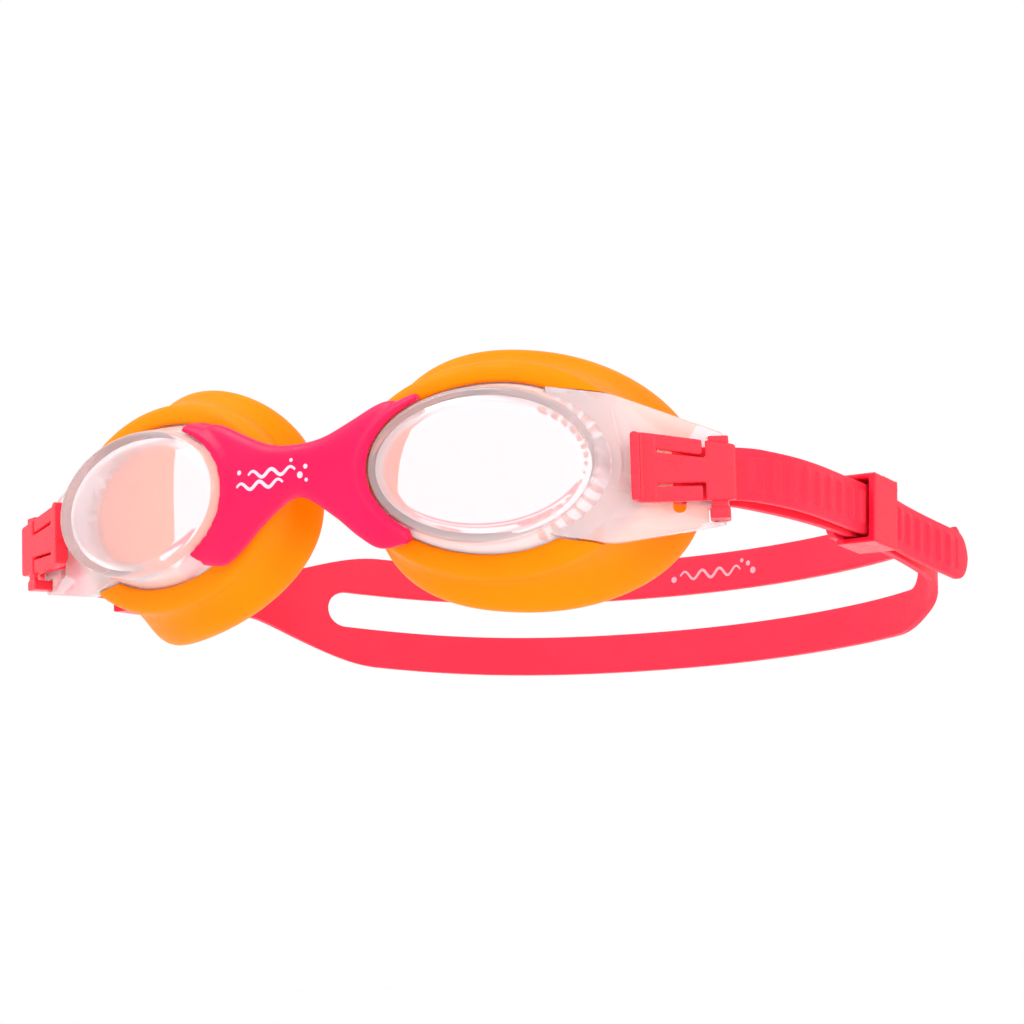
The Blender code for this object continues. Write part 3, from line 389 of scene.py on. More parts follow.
def slab(name, outline, inner, outer):
    """A plate drawn in arm coordinates (along, z), between two distances out from the arm."""
    back = [to_world(arm_point(a, inner, z)) for a, z in outline]
    front = [to_world(arm_point(a, outer, z)) for a, z in outline]
    return mesh_object(name, *loft([back, front]))


def bulge(value, fullness):
    return math.copysign(abs(value) ** (2 / fullness), value)


def oval(depth, nose, temple, half_height, tilt=OVAL_TILT, centre=(0.0, 0.0), sweep=0.0,
         fullness=2.0, count=144):
    """A ring of points, with its own nose and temple widths, swept back towards the temple."""
    ring = []
    lean = math.radians(tilt)
    for i in range(count):
        turn = 2 * math.pi * i / count
        across = bulge(math.cos(turn), fullness) * (temple if math.cos(turn) > 0 else nose)
        up = bulge(math.sin(turn), fullness) * half_height
        x = centre[0] + across * math.cos(lean) - up * math.sin(lean)
        z = centre[1] + across * math.sin(lean) + up * math.cos(lean)
        ring.append((x, depth + sweep * (SEAL_SLOPE * x + SEAL_CURVE * x * x), z))
    return ring


def wall_sizes(depth, grow=0.0):
    """Nose half width, temple half width and half height of the clear wall at a depth."""
    share = (depth - FACE_EDGE) / (WALL_DEPTH - FACE_EDGE)
    width = FACE_HALF_WIDTH + FACE_EDGE
    height = FACE_HALF_HEIGHT + FACE_EDGE
    return (
        width + share * (WALL_NOSE - width) + grow,
        width + share * (WALL_TEMPLE - width) + grow,
        height + share * (WALL_HALF_HEIGHT - height) + grow,
    )


def wall_oval(depth, grow=0.0, sweep=0.0, count=144):
    return oval(depth, *wall_sizes(depth, grow), sweep=sweep, count=count)


# ---------------------------------------------------------------- materials
# Transmission weights of the clear plastic; the rest of each shows the pale base colour diffusely, which is
# painted reflection and painted light.
FACE_TRANSMISSION_PAINTED_LIGHT = 0.82
ARM_TRANSMISSION_PAINTED_REFLECTION = 0.6


def srgb(red, green, blue):
    def linear(c):
        c = c / 255
        return c / 12.92 if c <= 0.04045 else ((c + 0.055) / 1.055) ** 2.4

    return (linear(red), linear(green), linear(blue), 1.0)


def new_material(name):
    made = bpy.data.materials.new(name)
    made.use_nodes = True
    nodes = made.node_tree.nodes
    shader = nodes["Principled BSDF"]
    place = nodes.new("ShaderNodeTexCoord")
    return made, made.node_tree, shader, place.outputs["Object"]


def noise(tree, place, scale, detail=2.0):
    node = tree.nodes.new("ShaderNodeTexNoise")
    node.inputs["Scale"].default_value = scale
    node.inputs["Detail"].default_value = detail
    tree.links.new(place, node.inputs["Vector"])
    return node.outputs["Fac"]


def remap(tree, value, low, high):
    node = tree.nodes.new("ShaderNodeMapRange")
    node.inputs["From Min"].default_value = 0.3
    node.inputs["From Max"].default_value = 0.7
    node.inputs["To Min"].default_value = low
    node.inputs["To Max"].default_value = high
    tree.links.new(value, node.inputs["Value"])
    return node.outputs["Result"]


def colours(tree, factor, first, second):
    node = tree.nodes.new("ShaderNodeMix")
    node.data_type = "RGBA"
    node.inputs[6].default_value = first
    node.inputs[7].default_value = second
    tree.links.new(factor, node.inputs[0])
    return node.outputs[2]


def bump(tree, shader, height, strength, distance):
    node = tree.nodes.new("ShaderNodeBump")
    node.inputs["Strength"].default_value = strength
    node.inputs["Distance"].default_value = distance * MM
    tree.links.new(height, node.inputs["Height"])
    tree.links.new(node.outputs["Normal"], shader.inputs["Normal"])


def silicone(name, base, deep, rough=(0.36, 0.5), glow=0.2, shine=0.25):
    """Soft moulded rubber: faint cloudy colour, satin skin, a little light under the surface."""
    made, tree, shader, place = new_material(name)
    cloud = noise(tree, place, 140.0)
    tree.links.new(colours(tree, cloud, base, deep), shader.inputs["Base Color"])
    tree.links.new(remap(tree, noise(tree, place, 700.0), *rough), shader.inputs["Roughness"])
    shader.inputs["Subsurface Weight"].default_value = glow
    shader.inputs["Subsurface Radius"].default_value = (1.0, 0.3, 0.08)
    shader.inputs["Subsurface Scale"].default_value = 0.001
    shader.inputs["IOR"].default_value = 1.42
    shader.inputs["Specular IOR Level"].default_value = shine
    bump(tree, shader, noise(tree, place, 3200.0, 3.0), 0.12, 0.05)
    return made


def moulded_plastic(name, base, deep):
    """Glossy injection moulding with a very fine orange-peel skin."""
    made, tree, shader, place = new_material(name)
    cloud = noise(tree, place, 220.0)
    tree.links.new(colours(tree, cloud, base, deep), shader.inputs["Base Color"])
    tree.links.new(remap(tree, noise(tree, place, 900.0), 0.24, 0.34), shader.inputs["Roughness"])
    shader.inputs["IOR"].default_value = 1.49
    shader.inputs["Specular IOR Level"].default_value = 0.28
    bump(tree, shader, noise(tree, place, 900.0), 0.03, 0.03)
    return made


def clear_plastic(name, painted_reflection_pink):
    """Polished polycarbonate with a pale pink base colour that is painted reflection of the pink parts round
    it. Its transmission is below one, and the share not transmitted shows that colour as diffuse white:
    painted reflection and painted light, a little at the face and more in the thick flange and arm behind it.
    """
    made, tree, shader, place = new_material(name)
    # The pale pink base colour is painted reflection of the pink parts round the lens.
    shader.inputs["Base Color"].default_value = painted_reflection_pink
    shader.inputs["IOR"].default_value = 1.36
    tree.links.new(remap(tree, noise(tree, place, 260.0, 4.0), 0.01, 0.04), shader.inputs["Roughness"])

    def maths(operation, first, second):
        node = tree.nodes.new("ShaderNodeMath")
        node.operation = operation
        for socket, value in zip(node.inputs, (first, second)):
            if isinstance(value, float):
                socket.default_value = value
            else:
                tree.links.new(value, socket)
        return node.outputs[0]

    parts = tree.nodes.new("ShaderNodeSeparateXYZ")
    tree.links.new(place, parts.inputs[0])
    yaw = math.radians(EYE_YAW)
    outward = maths("SUBTRACT", maths("ABSOLUTE", parts.outputs["X"], 0.0), EYE_HALF_SPACING * MM)
    back = maths("SUBTRACT", parts.outputs["Y"], FRONT_Y * MM)
    depth = maths(
        "SUBTRACT", maths("MULTIPLY", back, math.cos(yaw)), maths("MULTIPLY", outward, math.sin(yaw))
    )
    # Less transmission deeper in: the diffuse share paints reflection of the white surroundings into the
    # flange and arm, and lifts the walls with painted light.
    transmission_painted_light = tree.nodes.new("ShaderNodeMapRange")
    transmission_painted_light.interpolation_type = "SMOOTHSTEP"
    transmission_painted_light.inputs["From Min"].default_value = 0.7 * MM
    transmission_painted_light.inputs["From Max"].default_value = 3.0 * MM
    transmission_painted_light.inputs["To Min"].default_value = FACE_TRANSMISSION_PAINTED_LIGHT
    transmission_painted_light.inputs["To Max"].default_value = ARM_TRANSMISSION_PAINTED_REFLECTION
    tree.links.new(depth, transmission_painted_light.inputs["Value"])
    tree.links.new(transmission_painted_light.outputs["Result"], shader.inputs["Transmission Weight"])
    return made


def print_ink(name, colour):
    made, tree, shader, place = new_material(name)
    faded = tuple(c * 0.93 for c in colour[:3]) + (1.0,)
    tree.links.new(colours(tree, noise(tree, place, 900.0), colour, faded), shader.inputs["Base Color"])
    shader.inputs["Roughness"].default_value = 0.5
    return made


# Pale pink lens colour: painted reflection of the pink parts round it.
LENS = clear_plastic("clear_polycarbonate", srgb(253, 244, 246))
ORANGE = silicone("orange_silicone", srgb(255, 134, 0), srgb(255, 126, 0), glow=0.1, shine=0.08)
BRIDGE = silicone("magenta_elastomer", srgb(252, 22, 84), srgb(240, 16, 74), rough=(0.3, 0.42), shine=0.2)
STRAP = silicone("coral_silicone", srgb(254, 48, 72), srgb(250, 42, 66), rough=(0.4, 0.52), shine=0.18)
CLIP = moulded_plastic("coral_plastic", srgb(254, 46, 66), srgb(250, 40, 58))
# Keeper: the clip's coral plastic made darker, which is painted shade on its face.
KEEPER_PAINTED_SHADE = moulded_plastic("coral_keeper_plastic", srgb(230, 24, 56), srgb(224, 20, 50))
BRIDGE_INK = print_ink("pale_pink_print", srgb(255, 196, 214))
STRAP_INK = print_ink("soft_pink_print", srgb(255, 150, 164))


# ---------------------------------------------------------------- lenses
def arm_edge(along, upper):
    share = along / ARM_LENGTH
    root = ARM_ROOT_TOP if upper else ARM_ROOT_BOTTOM
    tip = ARM_TIP_TOP if upper else ARM_TIP_BOTTOM
    return root + (tip - root) * share


def ear_spans():
    upper = arm_edge(PIN_ALONG, True) - PIN_LEDGE_TOP
    lower = arm_edge(PIN_ALONG, False) + PIN_LEDGE_BOTTOM
    return ((lower, lower + EAR_HEIGHT_BOTTOM), (upper - EAR_HEIGHT_TOP, upper))


def make_arm():
    half = ARM_THICKNESS / 2
    corners = [
        (-ARM_EMBED, ARM_ROOT_TOP + ARM_EMBED * ARM_FLARE),
        (0.0, ARM_ROOT_TOP),
        (ARM_LENGTH, ARM_TIP_TOP),
        (ARM_LENGTH, ARM_TIP_BOTTOM),
        (0.0, ARM_ROOT_BOTTOM),
        (-ARM_EMBED, ARM_ROOT_BOTTOM + ARM_EMBED * ARM_FLARE_LOWER),
    ]
    radii = (0, ARM_ROOT_RADIUS, ARM_TIP_RADIUS, ARM_TIP_RADIUS, ARM_ROOT_RADIUS, 0)
    arm = slab("arm", rounded(corners, radii), -half, half)
    past = half + ARM_CUT_PAST
    slot = [
        (SLOT_FRONT, SLOT_TOP),
        (SLOT_REAR, SLOT_TOP),
        (SLOT_REAR, SLOT_BOTTOM),
        (SLOT_FRONT, SLOT_BOTTOM),
    ]
    slot = rounded(slot, (SLOT_CORNER,) * 4, SLOT_CORNER_STEPS)
    boolean(arm, slab("slot", slot, -past, past), "DIFFERENCE")
    for low, high in ear_spans():
        notch = [
            (PIN_ALONG - NOTCH_HALF_LENGTH, high + NOTCH_CLEARANCE),
            (ARM_LENGTH + 2, high + NOTCH_CLEARANCE),
            (ARM_LENGTH + 2, low - NOTCH_CLEARANCE),
            (PIN_ALONG - NOTCH_HALF_LENGTH, low - NOTCH_CLEARANCE),
        ]
        boolean(arm, slab("notch", notch, -past, past), "DIFFERENCE")
    bevel(arm, ARM_EDGE_RADIUS, 3, 50)
    for low, high in ear_spans():
        rings = []
        for z in (low - PIN_ROOT, high + PIN_ROOT):
            ring = []
            for i in range(PIN_SIDES):
                turn = 2 * math.pi * i / PIN_SIDES
                along = PIN_ALONG + PIN_RADIUS * math.cos(turn)
                ring.append(to_world(arm_point(along, PIN_RADIUS * math.sin(turn), z)))
            rings.append(ring)
        boolean(arm, mesh_object("pin", *loft(rings)), "UNION")
    hollow = [wall_oval(depth, -WALL_THICKNESS / 2) for depth in (0.0, WALL_DEPTH + 2 * ARM_THICKNESS)]
    hollow = mesh_object("hollow", *loft([[to_world(p) for p in ring] for ring in hollow]))
    boolean(arm, hollow, "DIFFERENCE")
    return arm


def make_lens():
    rear = WALL_DEPTH + FLANGE_THICKNESS
    width, height = FACE_HALF_WIDTH, FACE_HALF_HEIGHT
    inner = FACE_HALF_WIDTH + FACE_EDGE - WALL_THICKNESS - 1.0
    wall_in = FACE_THICKNESS + 0.8
    rings = [oval(0.0, width - 0.6, width - 0.6, height - 0.6), oval(0.0, width, width, height)]
    for depth, grow in ((0.06, 0.3), (0.22, 0.55), (0.5, 0.78)):
        rings.append(oval(depth, width + grow, width + grow, height + grow))
    rings += [wall_oval(FACE_EDGE), wall_oval(WALL_DEPTH - 0.5), wall_oval(WALL_DEPTH - 0.1, 0.12)]
    rings += [wall_oval(WALL_DEPTH, 0.5), wall_oval(WALL_DEPTH, FLANGE_WIDTH - 0.3)]
    sizes = wall_sizes(WALL_DEPTH, FLANGE_WIDTH)
    rings += [oval(WALL_DEPTH + 0.3, *sizes), oval(rear - 0.3, *sizes)]
    rings.append(oval(rear, *wall_sizes(WALL_DEPTH, FLANGE_WIDTH - 0.3)))
    rings.append(oval(rear, *wall_sizes(WALL_DEPTH, -WALL_THICKNESS + 0.3)))
    rings.append(oval(rear - 0.3, *wall_sizes(WALL_DEPTH, -WALL_THICKNESS)))
    rings.append(wall_oval(wall_in, -WALL_THICKNESS))
    rings.append(oval(FACE_THICKNESS + 0.25, inner + 0.6, inner + 0.6, height - 1.1))
    rings.append(oval(FACE_THICKNESS, inner, inner, height - 1.7))
    rings.append(oval(FACE_THICKNESS, inner - 0.6, inner - 0.6, height - 2.3))
    lens = mesh_object("lens_right_clear", *loft([[to_world(p) for p in ring] for ring in rings]))
    boolean(lens, make_arm(), "UNION")
    return lens


# ---------------------------------------------------------------- gaskets
def rim_oval(depth, grow, sweep, count):
    return oval(depth, RIM_NOSE + grow, RIM_TEMPLE + grow, RIM_HALF_HEIGHT + grow, RIM_TILT,
                RIM_CENTRE, sweep, RIM_FULLNESS, count)


def collar_oval(depth, grow, sweep, count):
    return oval(depth, COLLAR_NOSE + grow, COLLAR_TEMPLE + grow, COLLAR_HALF_HEIGHT + grow,
                OVAL_TILT - 1.0, (0.2, -0.2), sweep, 2.0, count)


def make_gasket():
    """A cage of rings round the lens flange, subdivided, with room cut for the arm."""
    count = CAGE_POINTS
    front = WALL_DEPTH - GAP
    rear = WALL_DEPTH + FLANGE_THICKNESS + GAP
    inside = -WALL_THICKNESS
    rings = [
        *(wall_oval(LIP_FRONT + d, GAP + grow, count=count) for d, grow in LIP_RINGS),
        *(collar_oval(LIP_FRONT + d, grow, sweep, count) for d, grow, sweep in COLLAR_RINGS),
        collar_oval(COLLAR_REAR - COLLAR_FOLD[0], COLLAR_FOLD[1], COLLAR_FOLD[2], count),
        *(rim_oval(RIM_FRONT + d, grow, sweep, count) for d, grow, sweep in RIM_FRONT_RINGS),
        *(rim_oval(RIM_REAR - d, grow, sweep, count) for d, grow, sweep in RIM_REAR_RINGS),
        *(wall_oval(rear + d, inside + grow, sweep, count) for d, grow, sweep in THROAT_RINGS),
        wall_oval(rear, inside + THROAT_STEP - GAP, 0.0, count),
        oval(rear, *wall_sizes(WALL_DEPTH, FLANGE_WIDTH + GAP), count=count),
        oval(front, *wall_sizes(WALL_DEPTH, FLANGE_WIDTH + GAP), count=count),
        wall_oval(front, GAP, count=count),
    ]
    crisp = {len(rings) - k for k in (1, 2, 3, 4)} | {0}
    points, faces = loft([[to_world(p) for p in ring] for ring in rings], closed=True)
    gasket = mesh_object("gasket_right_silicone", points, faces)
    crease = gasket.data.attributes.new("crease_edge", "FLOAT", "EDGE")
    for edge in gasket.data.edges:
        first, second = (v // count for v in edge.vertices)
        if first == second and first in crisp:
            crease.data[edge.index].value = CAGE_CREASE
    step = gasket.modifiers.new("smooth", "SUBSURF")
    step.levels = CAGE_LEVELS
    step.render_levels = CAGE_LEVELS
    settle(gasket)

    half = ARM_THICKNESS / 2
    passage = []
    for along in PASSAGE_STATIONS:
        level = max(along, 0.0)
        top = arm_edge(level, True) + (level - along) * ARM_FLARE + GAP
        bottom = arm_edge(level, False) + (level - along) * ARM_FLARE_LOWER - GAP
        if along < 0:
            x = ARM_START[0] + along
            near, far = (x, PASSAGE_FRONT), (x, WALL_DEPTH - GAP / 3)
        else:
            near = arm_point(along, PASSAGE_OUT, 0.0)[:2]
            far = arm_point(along, -half - GAP, 0.0)[:2]
        section = [(*near, top), (*far, top), (*far, bottom), (*near, bottom)]
        passage.append([to_world(p) for p in section])
    boolean(gasket, mesh_object("passage", *loft(passage)), "DIFFERENCE")
    return gasket


def make_lock_teeth():
    """Small blocks of the gasket's inner lip that key into the clear wall, on the temple side."""
    made = []
    for k in range(TOOTH_COUNT):
        turn = math.radians(TOOTH_FIRST + k * TOOTH_APART)
        width = math.radians(TOOTH_HALF_ANGLE + TOOTH_ANGLE_STEP * ((k * 7) % 3))
        block = []
        for depth, inset in TOOTH_DEPTHS:
            _, temple, height = wall_sizes(min(depth, WALL_DEPTH), inset - WALL_THICKNESS - TOOTH_CLEAR)
            block.append(
                [
                    to_world(
                        ((temple - a) * math.cos(turn + w), depth, (height - a) * math.sin(turn + w))
                    )
                    for a, w in (
                        (TOOTH_LENGTH, -width),
                        (0.0, -width),
                        (0.0, width),
                        (TOOTH_LENGTH, width),
                    )
                ]
            )
        made.append(loft(block))
    points, faces = [], []
    for block_points, block_faces in made:
        base = len(points)
        points += block_points
        faces += [tuple(base + i for i in face) for face in block_faces]
    teeth = mesh_object("gasket_right_lock_teeth", points, faces)
    bevel(teeth, TOOTH_EDGE_RADIUS, 2, 40)
    return teeth


# ---------------------------------------------------------------- strap
def strap_path():
    """Stations of the inner layer: distance behind the bend at the arm's tip, x, y and heading."""
    heading = math.radians(EYE_YAW + ARM_BEND)
    behind = -(ARM_THICKNESS / 2 + GAP + STRAP_THICKNESS / 2)
    x, y, _ = to_world(arm_point(SLOT_REAR + BAR_AHEAD, behind, 0.0))
    bend = STRAP_BEND_RADIUS * (math.radians(SIDE_HEADING) - heading)
    walked = -STRAP_LEAD - bend
    stations = [(walked, x, y, heading)]
    for length, curve in ((STRAP_LEAD, 0.0), (bend, 1 / STRAP_BEND_RADIUS), *SIDE_RUNS):
        steps = max(4, round(length / STATION_STEP))
        for _ in range(steps):
            step = length / steps
            heading += curve * step / 2
            x += math.cos(heading) * step
            y += math.sin(heading) * step
            heading += curve * step / 2
            walked += step
            stations.append((walked, x, y, heading))
    remaining = math.pi - heading
    radius = x / math.sin(remaining)
    for _ in range(BACK_STEPS):
        step = remaining / BACK_STEPS
        heading += step / 2
        x += math.cos(heading) * radius * 2 * math.sin(step / 2)
        y += math.sin(heading) * radius * 2 * math.sin(step / 2)
        heading += step / 2
        walked += radius * step
        stations.append((walked, x, y, heading))
    return stations


PATH = strap_path()
PATH_START, PATH_END = PATH[0][0], PATH[-1][0]


def along_path(distance):
    for first, second in zip(PATH, PATH[1:]):
        if distance <= second[0]:
            share = (distance - first[0]) / (second[0] - first[0])
            return tuple(a + (b - a) * share for a, b in zip(first, second))
    return PATH[-1]


def centre_height(y, side):
    front, rear = PATH[0][2], PATH[-1][2]
    share = min(max((y - front) / (rear - front), 0.0), 1.0)
    lift = SIDE_LIFT[side] * math.sin(math.pi * share**LIFT_SKEW) ** 2
    return LENS_Z + STRAP_ARM_Z - STRAP_SLOPE * (y - front) + lift


def strap_point(distance, out, height, side):
    """A point on the strap: outward from the inner layer's middle and up its width."""
    _, x, y, heading = along_path(distance)
    up = Vector((0.0, STRAP_SLOPE, 1.0)).normalized()
    spot = Vector((x + math.sin(heading) * out, y - math.cos(heading) * out, centre_height(y, side)))
    spot += up * height
    return (side * spot.x, spot.y, spot.z)


def half_height(distance):
    share = smooth((distance - TAPER_START) / (TAPER_END - TAPER_START))
    return STRAP_HALF_HEIGHT + (BACK_HALF_HEIGHT - STRAP_HALF_HEIGHT) * share


def gap_half(distance):
    """Half the height of the opening between the two bands, round at its end."""
    past = distance - SPLIT_AT
    if past <= 0:
        return 0.0
    if past >= BAND_GAP_HALF:
        return BAND_GAP_HALF
    return math.sqrt(BAND_GAP_HALF**2 - (BAND_GAP_HALF - past) ** 2)


def make_head_strap():
    """One moulding from clip to clip: plain sides that part into two bands round the back of the head."""
    one_side = []
    distance = PATH_START
    while distance < SPLIT_AT - 0.5:
        one_side.append(distance)
        distance += SIDE_COLUMN
    one_side += [SPLIT_AT + BAND_GAP_HALF * (1 - math.cos(math.radians(a))) for a in range(0, 91, 10)]
    distance = SPLIT_AT + BAND_GAP_HALF + SIDE_COLUMN
    while distance < PATH_END - 0.5:
        one_side.append(distance)
        distance += BACK_COLUMN
    columns = [(d, 1) for d in one_side] + [(PATH_END, 1)] + [(d, -1) for d in reversed(one_side)]
    rows = STRAP_ROWS
    points, faces = [], []
    for d, side in columns:
        edge, hole = half_height(d), gap_half(d)
        for sign in (-1, 1):
            for r in range(rows + 1):
                points.append(strap_point(d, 0.0, sign * (hole + (edge - hole) * r / rows), side))
    span = 2 * (rows + 1)
    for c in range(len(columns) - 1):
        for half in (0, rows + 1):
            for r in range(rows):
                a = c * span + half + r
                faces.append((a, a + 1, a + span + 1, a + span))
    strap = mesh_object("head_strap", points, faces)
    work = bmesh.new()
    work.from_mesh(strap.data)
    bmesh.ops.remove_doubles(work, verts=work.verts[:], dist=1e-6)
    bmesh.ops.recalc_face_normals(work, faces=work.faces[:])
    work.to_mesh(strap.data)
    work.free()
    step = strap.modifiers.new("thickness", "SOLIDIFY")
    step.thickness = STRAP_THICKNESS * MM
    step.offset = 0.0
    step.use_even_offset = True
    settle(strap)
    bevel(strap, STRAP_EDGE_RADIUS, 3, 60)
    return strap


def tail_out(distance):
    close = smooth((distance - TAIL_CLOSE_FROM) / TAIL_CLOSE_LENGTH)
    leave = smooth((distance - TAIL_LEAVE_FROM) / (TAIL_END - TAIL_LEAVE_START))
    return LAYER_APART + (KEEPER_APART - LAYER_APART) * close + (TAIL_APART - KEEPER_APART) * leave


def tail_half(distance):
    """Half height of the ribbed layer, rounded off towards its free end."""
    left = TAIL_END - distance
    if left >= TAIL_HALF_HEIGHT:
        return TAIL_HALF_HEIGHT
    squared = TAIL_HALF_HEIGHT**2 - (TAIL_HALF_HEIGHT - left) ** 2
    return math.sqrt(max(squared, TAIL_END_SQUARED))


def rib_rise(distance):
    """Height of the ribs over the plain face at a distance."""
    phase = (distance - RIB_START) % RIB_PITCH
    if distance < RIB_START or distance > TAIL_END - TAIL_HALF_HEIGHT - 0.5:
        return 0.0
    return RIB_HEIGHT * smooth(phase / RIB_RAMP) * smooth((RIB_LENGTH - phase) / RIB_RAMP)


def tail_outline(edge, rise, nub=0.0):
    """The ribbed layer's cross-section as (outward, up) points, round at its corners."""
    half = STRAP_THICKNESS / 2
    corner = min(TAIL_CORNER, edge * 0.5)
    shape = []
    for cx, cz, start in (
        (-half + corner, edge - corner + nub, 90),
        (-half + corner, -edge + corner, 180),
        (half - corner, -edge + corner, 270),
    ):
        for k in range(5):
            turn = math.radians(start + 90 * k / 4)
            shape.append((cx + corner * math.cos(turn), cz + corner * math.sin(turn)))
    flat = max(edge - RIB_MARGIN, 0.0)
    for share in (-1.0, -0.92, -0.84, -0.5, 0.0, 0.5, 0.84, 0.92, 1.0):
        lift = rise * smooth((1.0 - abs(share)) / RIB_END_FADE)
        shape.append((half + lift, share * flat))
    for k in range(5):
        turn = math.radians(90 * k / 4)
        shape.append((half - corner + corner * math.cos(turn), edge - corner + nub + corner * math.sin(turn)))
    return shape


def tail_nub(distance):
    """A small pull bump on the upper edge, just before the free end's rounding."""
    middle = TAIL_END - TAIL_HALF_HEIGHT
    return TAIL_NUB * smooth(1.0 - abs(distance - middle) / NUB_HALF_LENGTH)


def tail_drop(distance):
    """The free end hangs a little lower than the layer under it."""
    return TAIL_DROOP * smooth((distance - KEEPER_AT) / (TAIL_END - KEEPER_AT))


def make_tail(side):
    """Round the arm's end bar, then the ribbed layer back to its free end."""
    half = STRAP_THICKNESS / 2
    radius = ARM_THICKNESS / 2 + GAP + half
    offset = centre_height(PATH[0][2], side) - LENS_Z
    rings = []

    def bar_ring(along, out, lean):
        ring = []
        for n, z in tail_outline(TAIL_HALF_HEIGHT, 0.0):
            spot = arm_point(along + n * math.cos(lean), out + n * math.sin(lean), offset + z)
            ring.append(to_world(spot, side))
        return ring

    rings.append(bar_ring(SLOT_REAR + BAR_AHEAD - GAP, -radius, -math.pi / 2))
    rings.append(bar_ring(SLOT_REAR + BAR_LEAD_IN, -radius, -math.pi / 2))
    centre = SLOT_REAR + BAR_MIDDLE
    for i in range(BAR_STEPS + 1):
        turn = -math.pi / 2 - math.pi * i / BAR_STEPS
        along = centre + radius * math.cos(turn) * BAR_FLATTENING
        rings.append(bar_ring(along, radius * math.sin(turn), turn))
    rings.append(bar_ring(SLOT_REAR + BAR_AHEAD, radius, math.pi / 2))
    lead_out = SLOT_REAR + BAR_AHEAD + STRAP_LEAD - BAR_LEAD_OUT
    rings.append(bar_ring(lead_out, radius, math.pi / 2))
    distance = PATH_START + STRAP_LEAD - TAIL_OVERLAP
    while distance < TAIL_END - TAIL_HALF_HEIGHT:
        shape = tail_outline(tail_half(distance), rib_rise(distance), tail_nub(distance))
        out, drop = tail_out(distance), tail_drop(distance)
        rings.append([strap_point(distance, out + n, z - drop, side) for n, z in shape])
        distance += TAIL_STEP
    for k in range(END_STEPS + 1):
        spot = TAIL_END - TAIL_HALF_HEIGHT * (1 - math.sin(math.pi / 2 * k / END_STEPS))
        if spot < distance:
            continue
        shape = tail_outline(tail_half(spot), 0.0, tail_nub(spot))
        out, drop = tail_out(spot), tail_drop(spot)
        rings.append([strap_point(spot, out + n, z - drop, side) for n, z in shape])
    return mesh_object("strap_tail_" + hand(side) + "_ribbed", *loft(rings))


# ---------------------------------------------------------------- nose bridge
def wall_point(depth, grow, turn):
    nose, temple, height = wall_sizes(depth, grow)
    across = (temple if math.cos(turn) > 0 else nose) * math.cos(turn)
    up = height * math.sin(turn)
    lean = math.radians(OVAL_TILT)
    return (
        across * math.cos(lean) - up * math.sin(lean),
        depth,
        across * math.sin(lean) + up * math.cos(lean),
    )


def make_grip(side):
    rings = []
    for i in range(GRIP_STEPS + 1):
        turn = math.radians(GRIP_START + (GRIP_END - GRIP_START) * i / GRIP_STEPS)
        rise = math.sin(math.pi * i / GRIP_STEPS)
        thick = GRIP_TIP_THICKNESS + (GRIP_THICKNESS - GRIP_TIP_THICKNESS) * rise
        profile = (
            (GRIP_FRONT, BRIDGE_CLEAR),
            (GRIP_FRONT + 0.05, BRIDGE_CLEAR + thick * GRIP_FRONT_SHARE),
            (GRIP_FRONT + 0.9, BRIDGE_CLEAR + thick),
            (GRIP_REAR - 1.0, BRIDGE_CLEAR + thick),
            (GRIP_REAR, BRIDGE_CLEAR + thick * GRIP_REAR_SHARE),
            (GRIP_REAR, BRIDGE_CLEAR),
        )
        rings.append([to_world(wall_point(d, g, turn), side) for d, g in profile])
    return mesh_object("grip", *loft(rings))


def curve_at(stations, x):
    """A smooth curve through (x, value) stations, level at the first one."""
    last = len(stations) - 1
    for i in range(last):
        if x <= stations[i + 1][0] or i == last - 1:
            x0, low = stations[i]
            x1, high = stations[i + 1]
            span = x1 - x0
            slope_in = slope_at(stations, i) * span
            slope_out = slope_at(stations, i + 1) * span
            t = (x - x0) / span
            return (
                low * (1 - t) ** 2 * (1 + 2 * t)
                + high * t * t * (3 - 2 * t)
                + slope_in * t * (1 - t) ** 2
                - slope_out * t * t * (1 - t)
            )


def slope_at(stations, i):
    if i == 0:
        return 0.0
    before = stations[i - 1]
    after = stations[min(i + 1, len(stations) - 1)]
    return (after[1] - before[1]) / (after[0] - before[0])


def make_bridge():
    rings = []
    for i in range(WEB_STEPS + 1):
        share = 2 * i / WEB_STEPS - 1
        top = curve_at(WEB_TOP, abs(share) * WEB_HALF_WIDTH)
        bottom = curve_at(WEB_BOTTOM, abs(share) * WEB_HALF_WIDTH)
        y = WEB_MIDDLE_Y + (WEB_END_Y - WEB_MIDDLE_Y) * share**2
        middle, half = (top + bottom) / 2, (top - bottom) / 2
        ring = []
        for k in range(WEB_SIDES):
            turn = 2 * math.pi * (k + 0.5) / WEB_SIDES
            across = math.copysign(abs(math.cos(turn)) ** WEB_SQUARENESS, math.cos(turn))
            up = math.copysign(abs(math.sin(turn)) ** WEB_SQUARENESS, math.sin(turn))
            ring.append(
                (share * WEB_HALF_WIDTH, FRONT_Y + y + across * WEB_HALF_DEPTH, LENS_Z + middle + up * half)
            )
        rings.append(ring)
    bridge = mesh_object("nose_bridge_soft", *loft(rings))
    for side in (1, -1):
        room = [[(x, -GRIP_REAR, z) for x, _, z in wall_oval(FACE_EDGE, BRIDGE_CLEAR)]]
        room += [wall_oval(depth, BRIDGE_CLEAR) for depth in (FACE_EDGE, WALL_DEPTH)]
        cutter = mesh_object("room", *loft([[to_world(p, side) for p in ring] for ring in room]))
        boolean(bridge, cutter, "DIFFERENCE")
    boolean(bridge, make_grip(1), "UNION")
    boolean(bridge, make_grip(-1), "UNION")
    soften(bridge, BRIDGE_VOXEL, BRIDGE_PASSES)
    return bridge


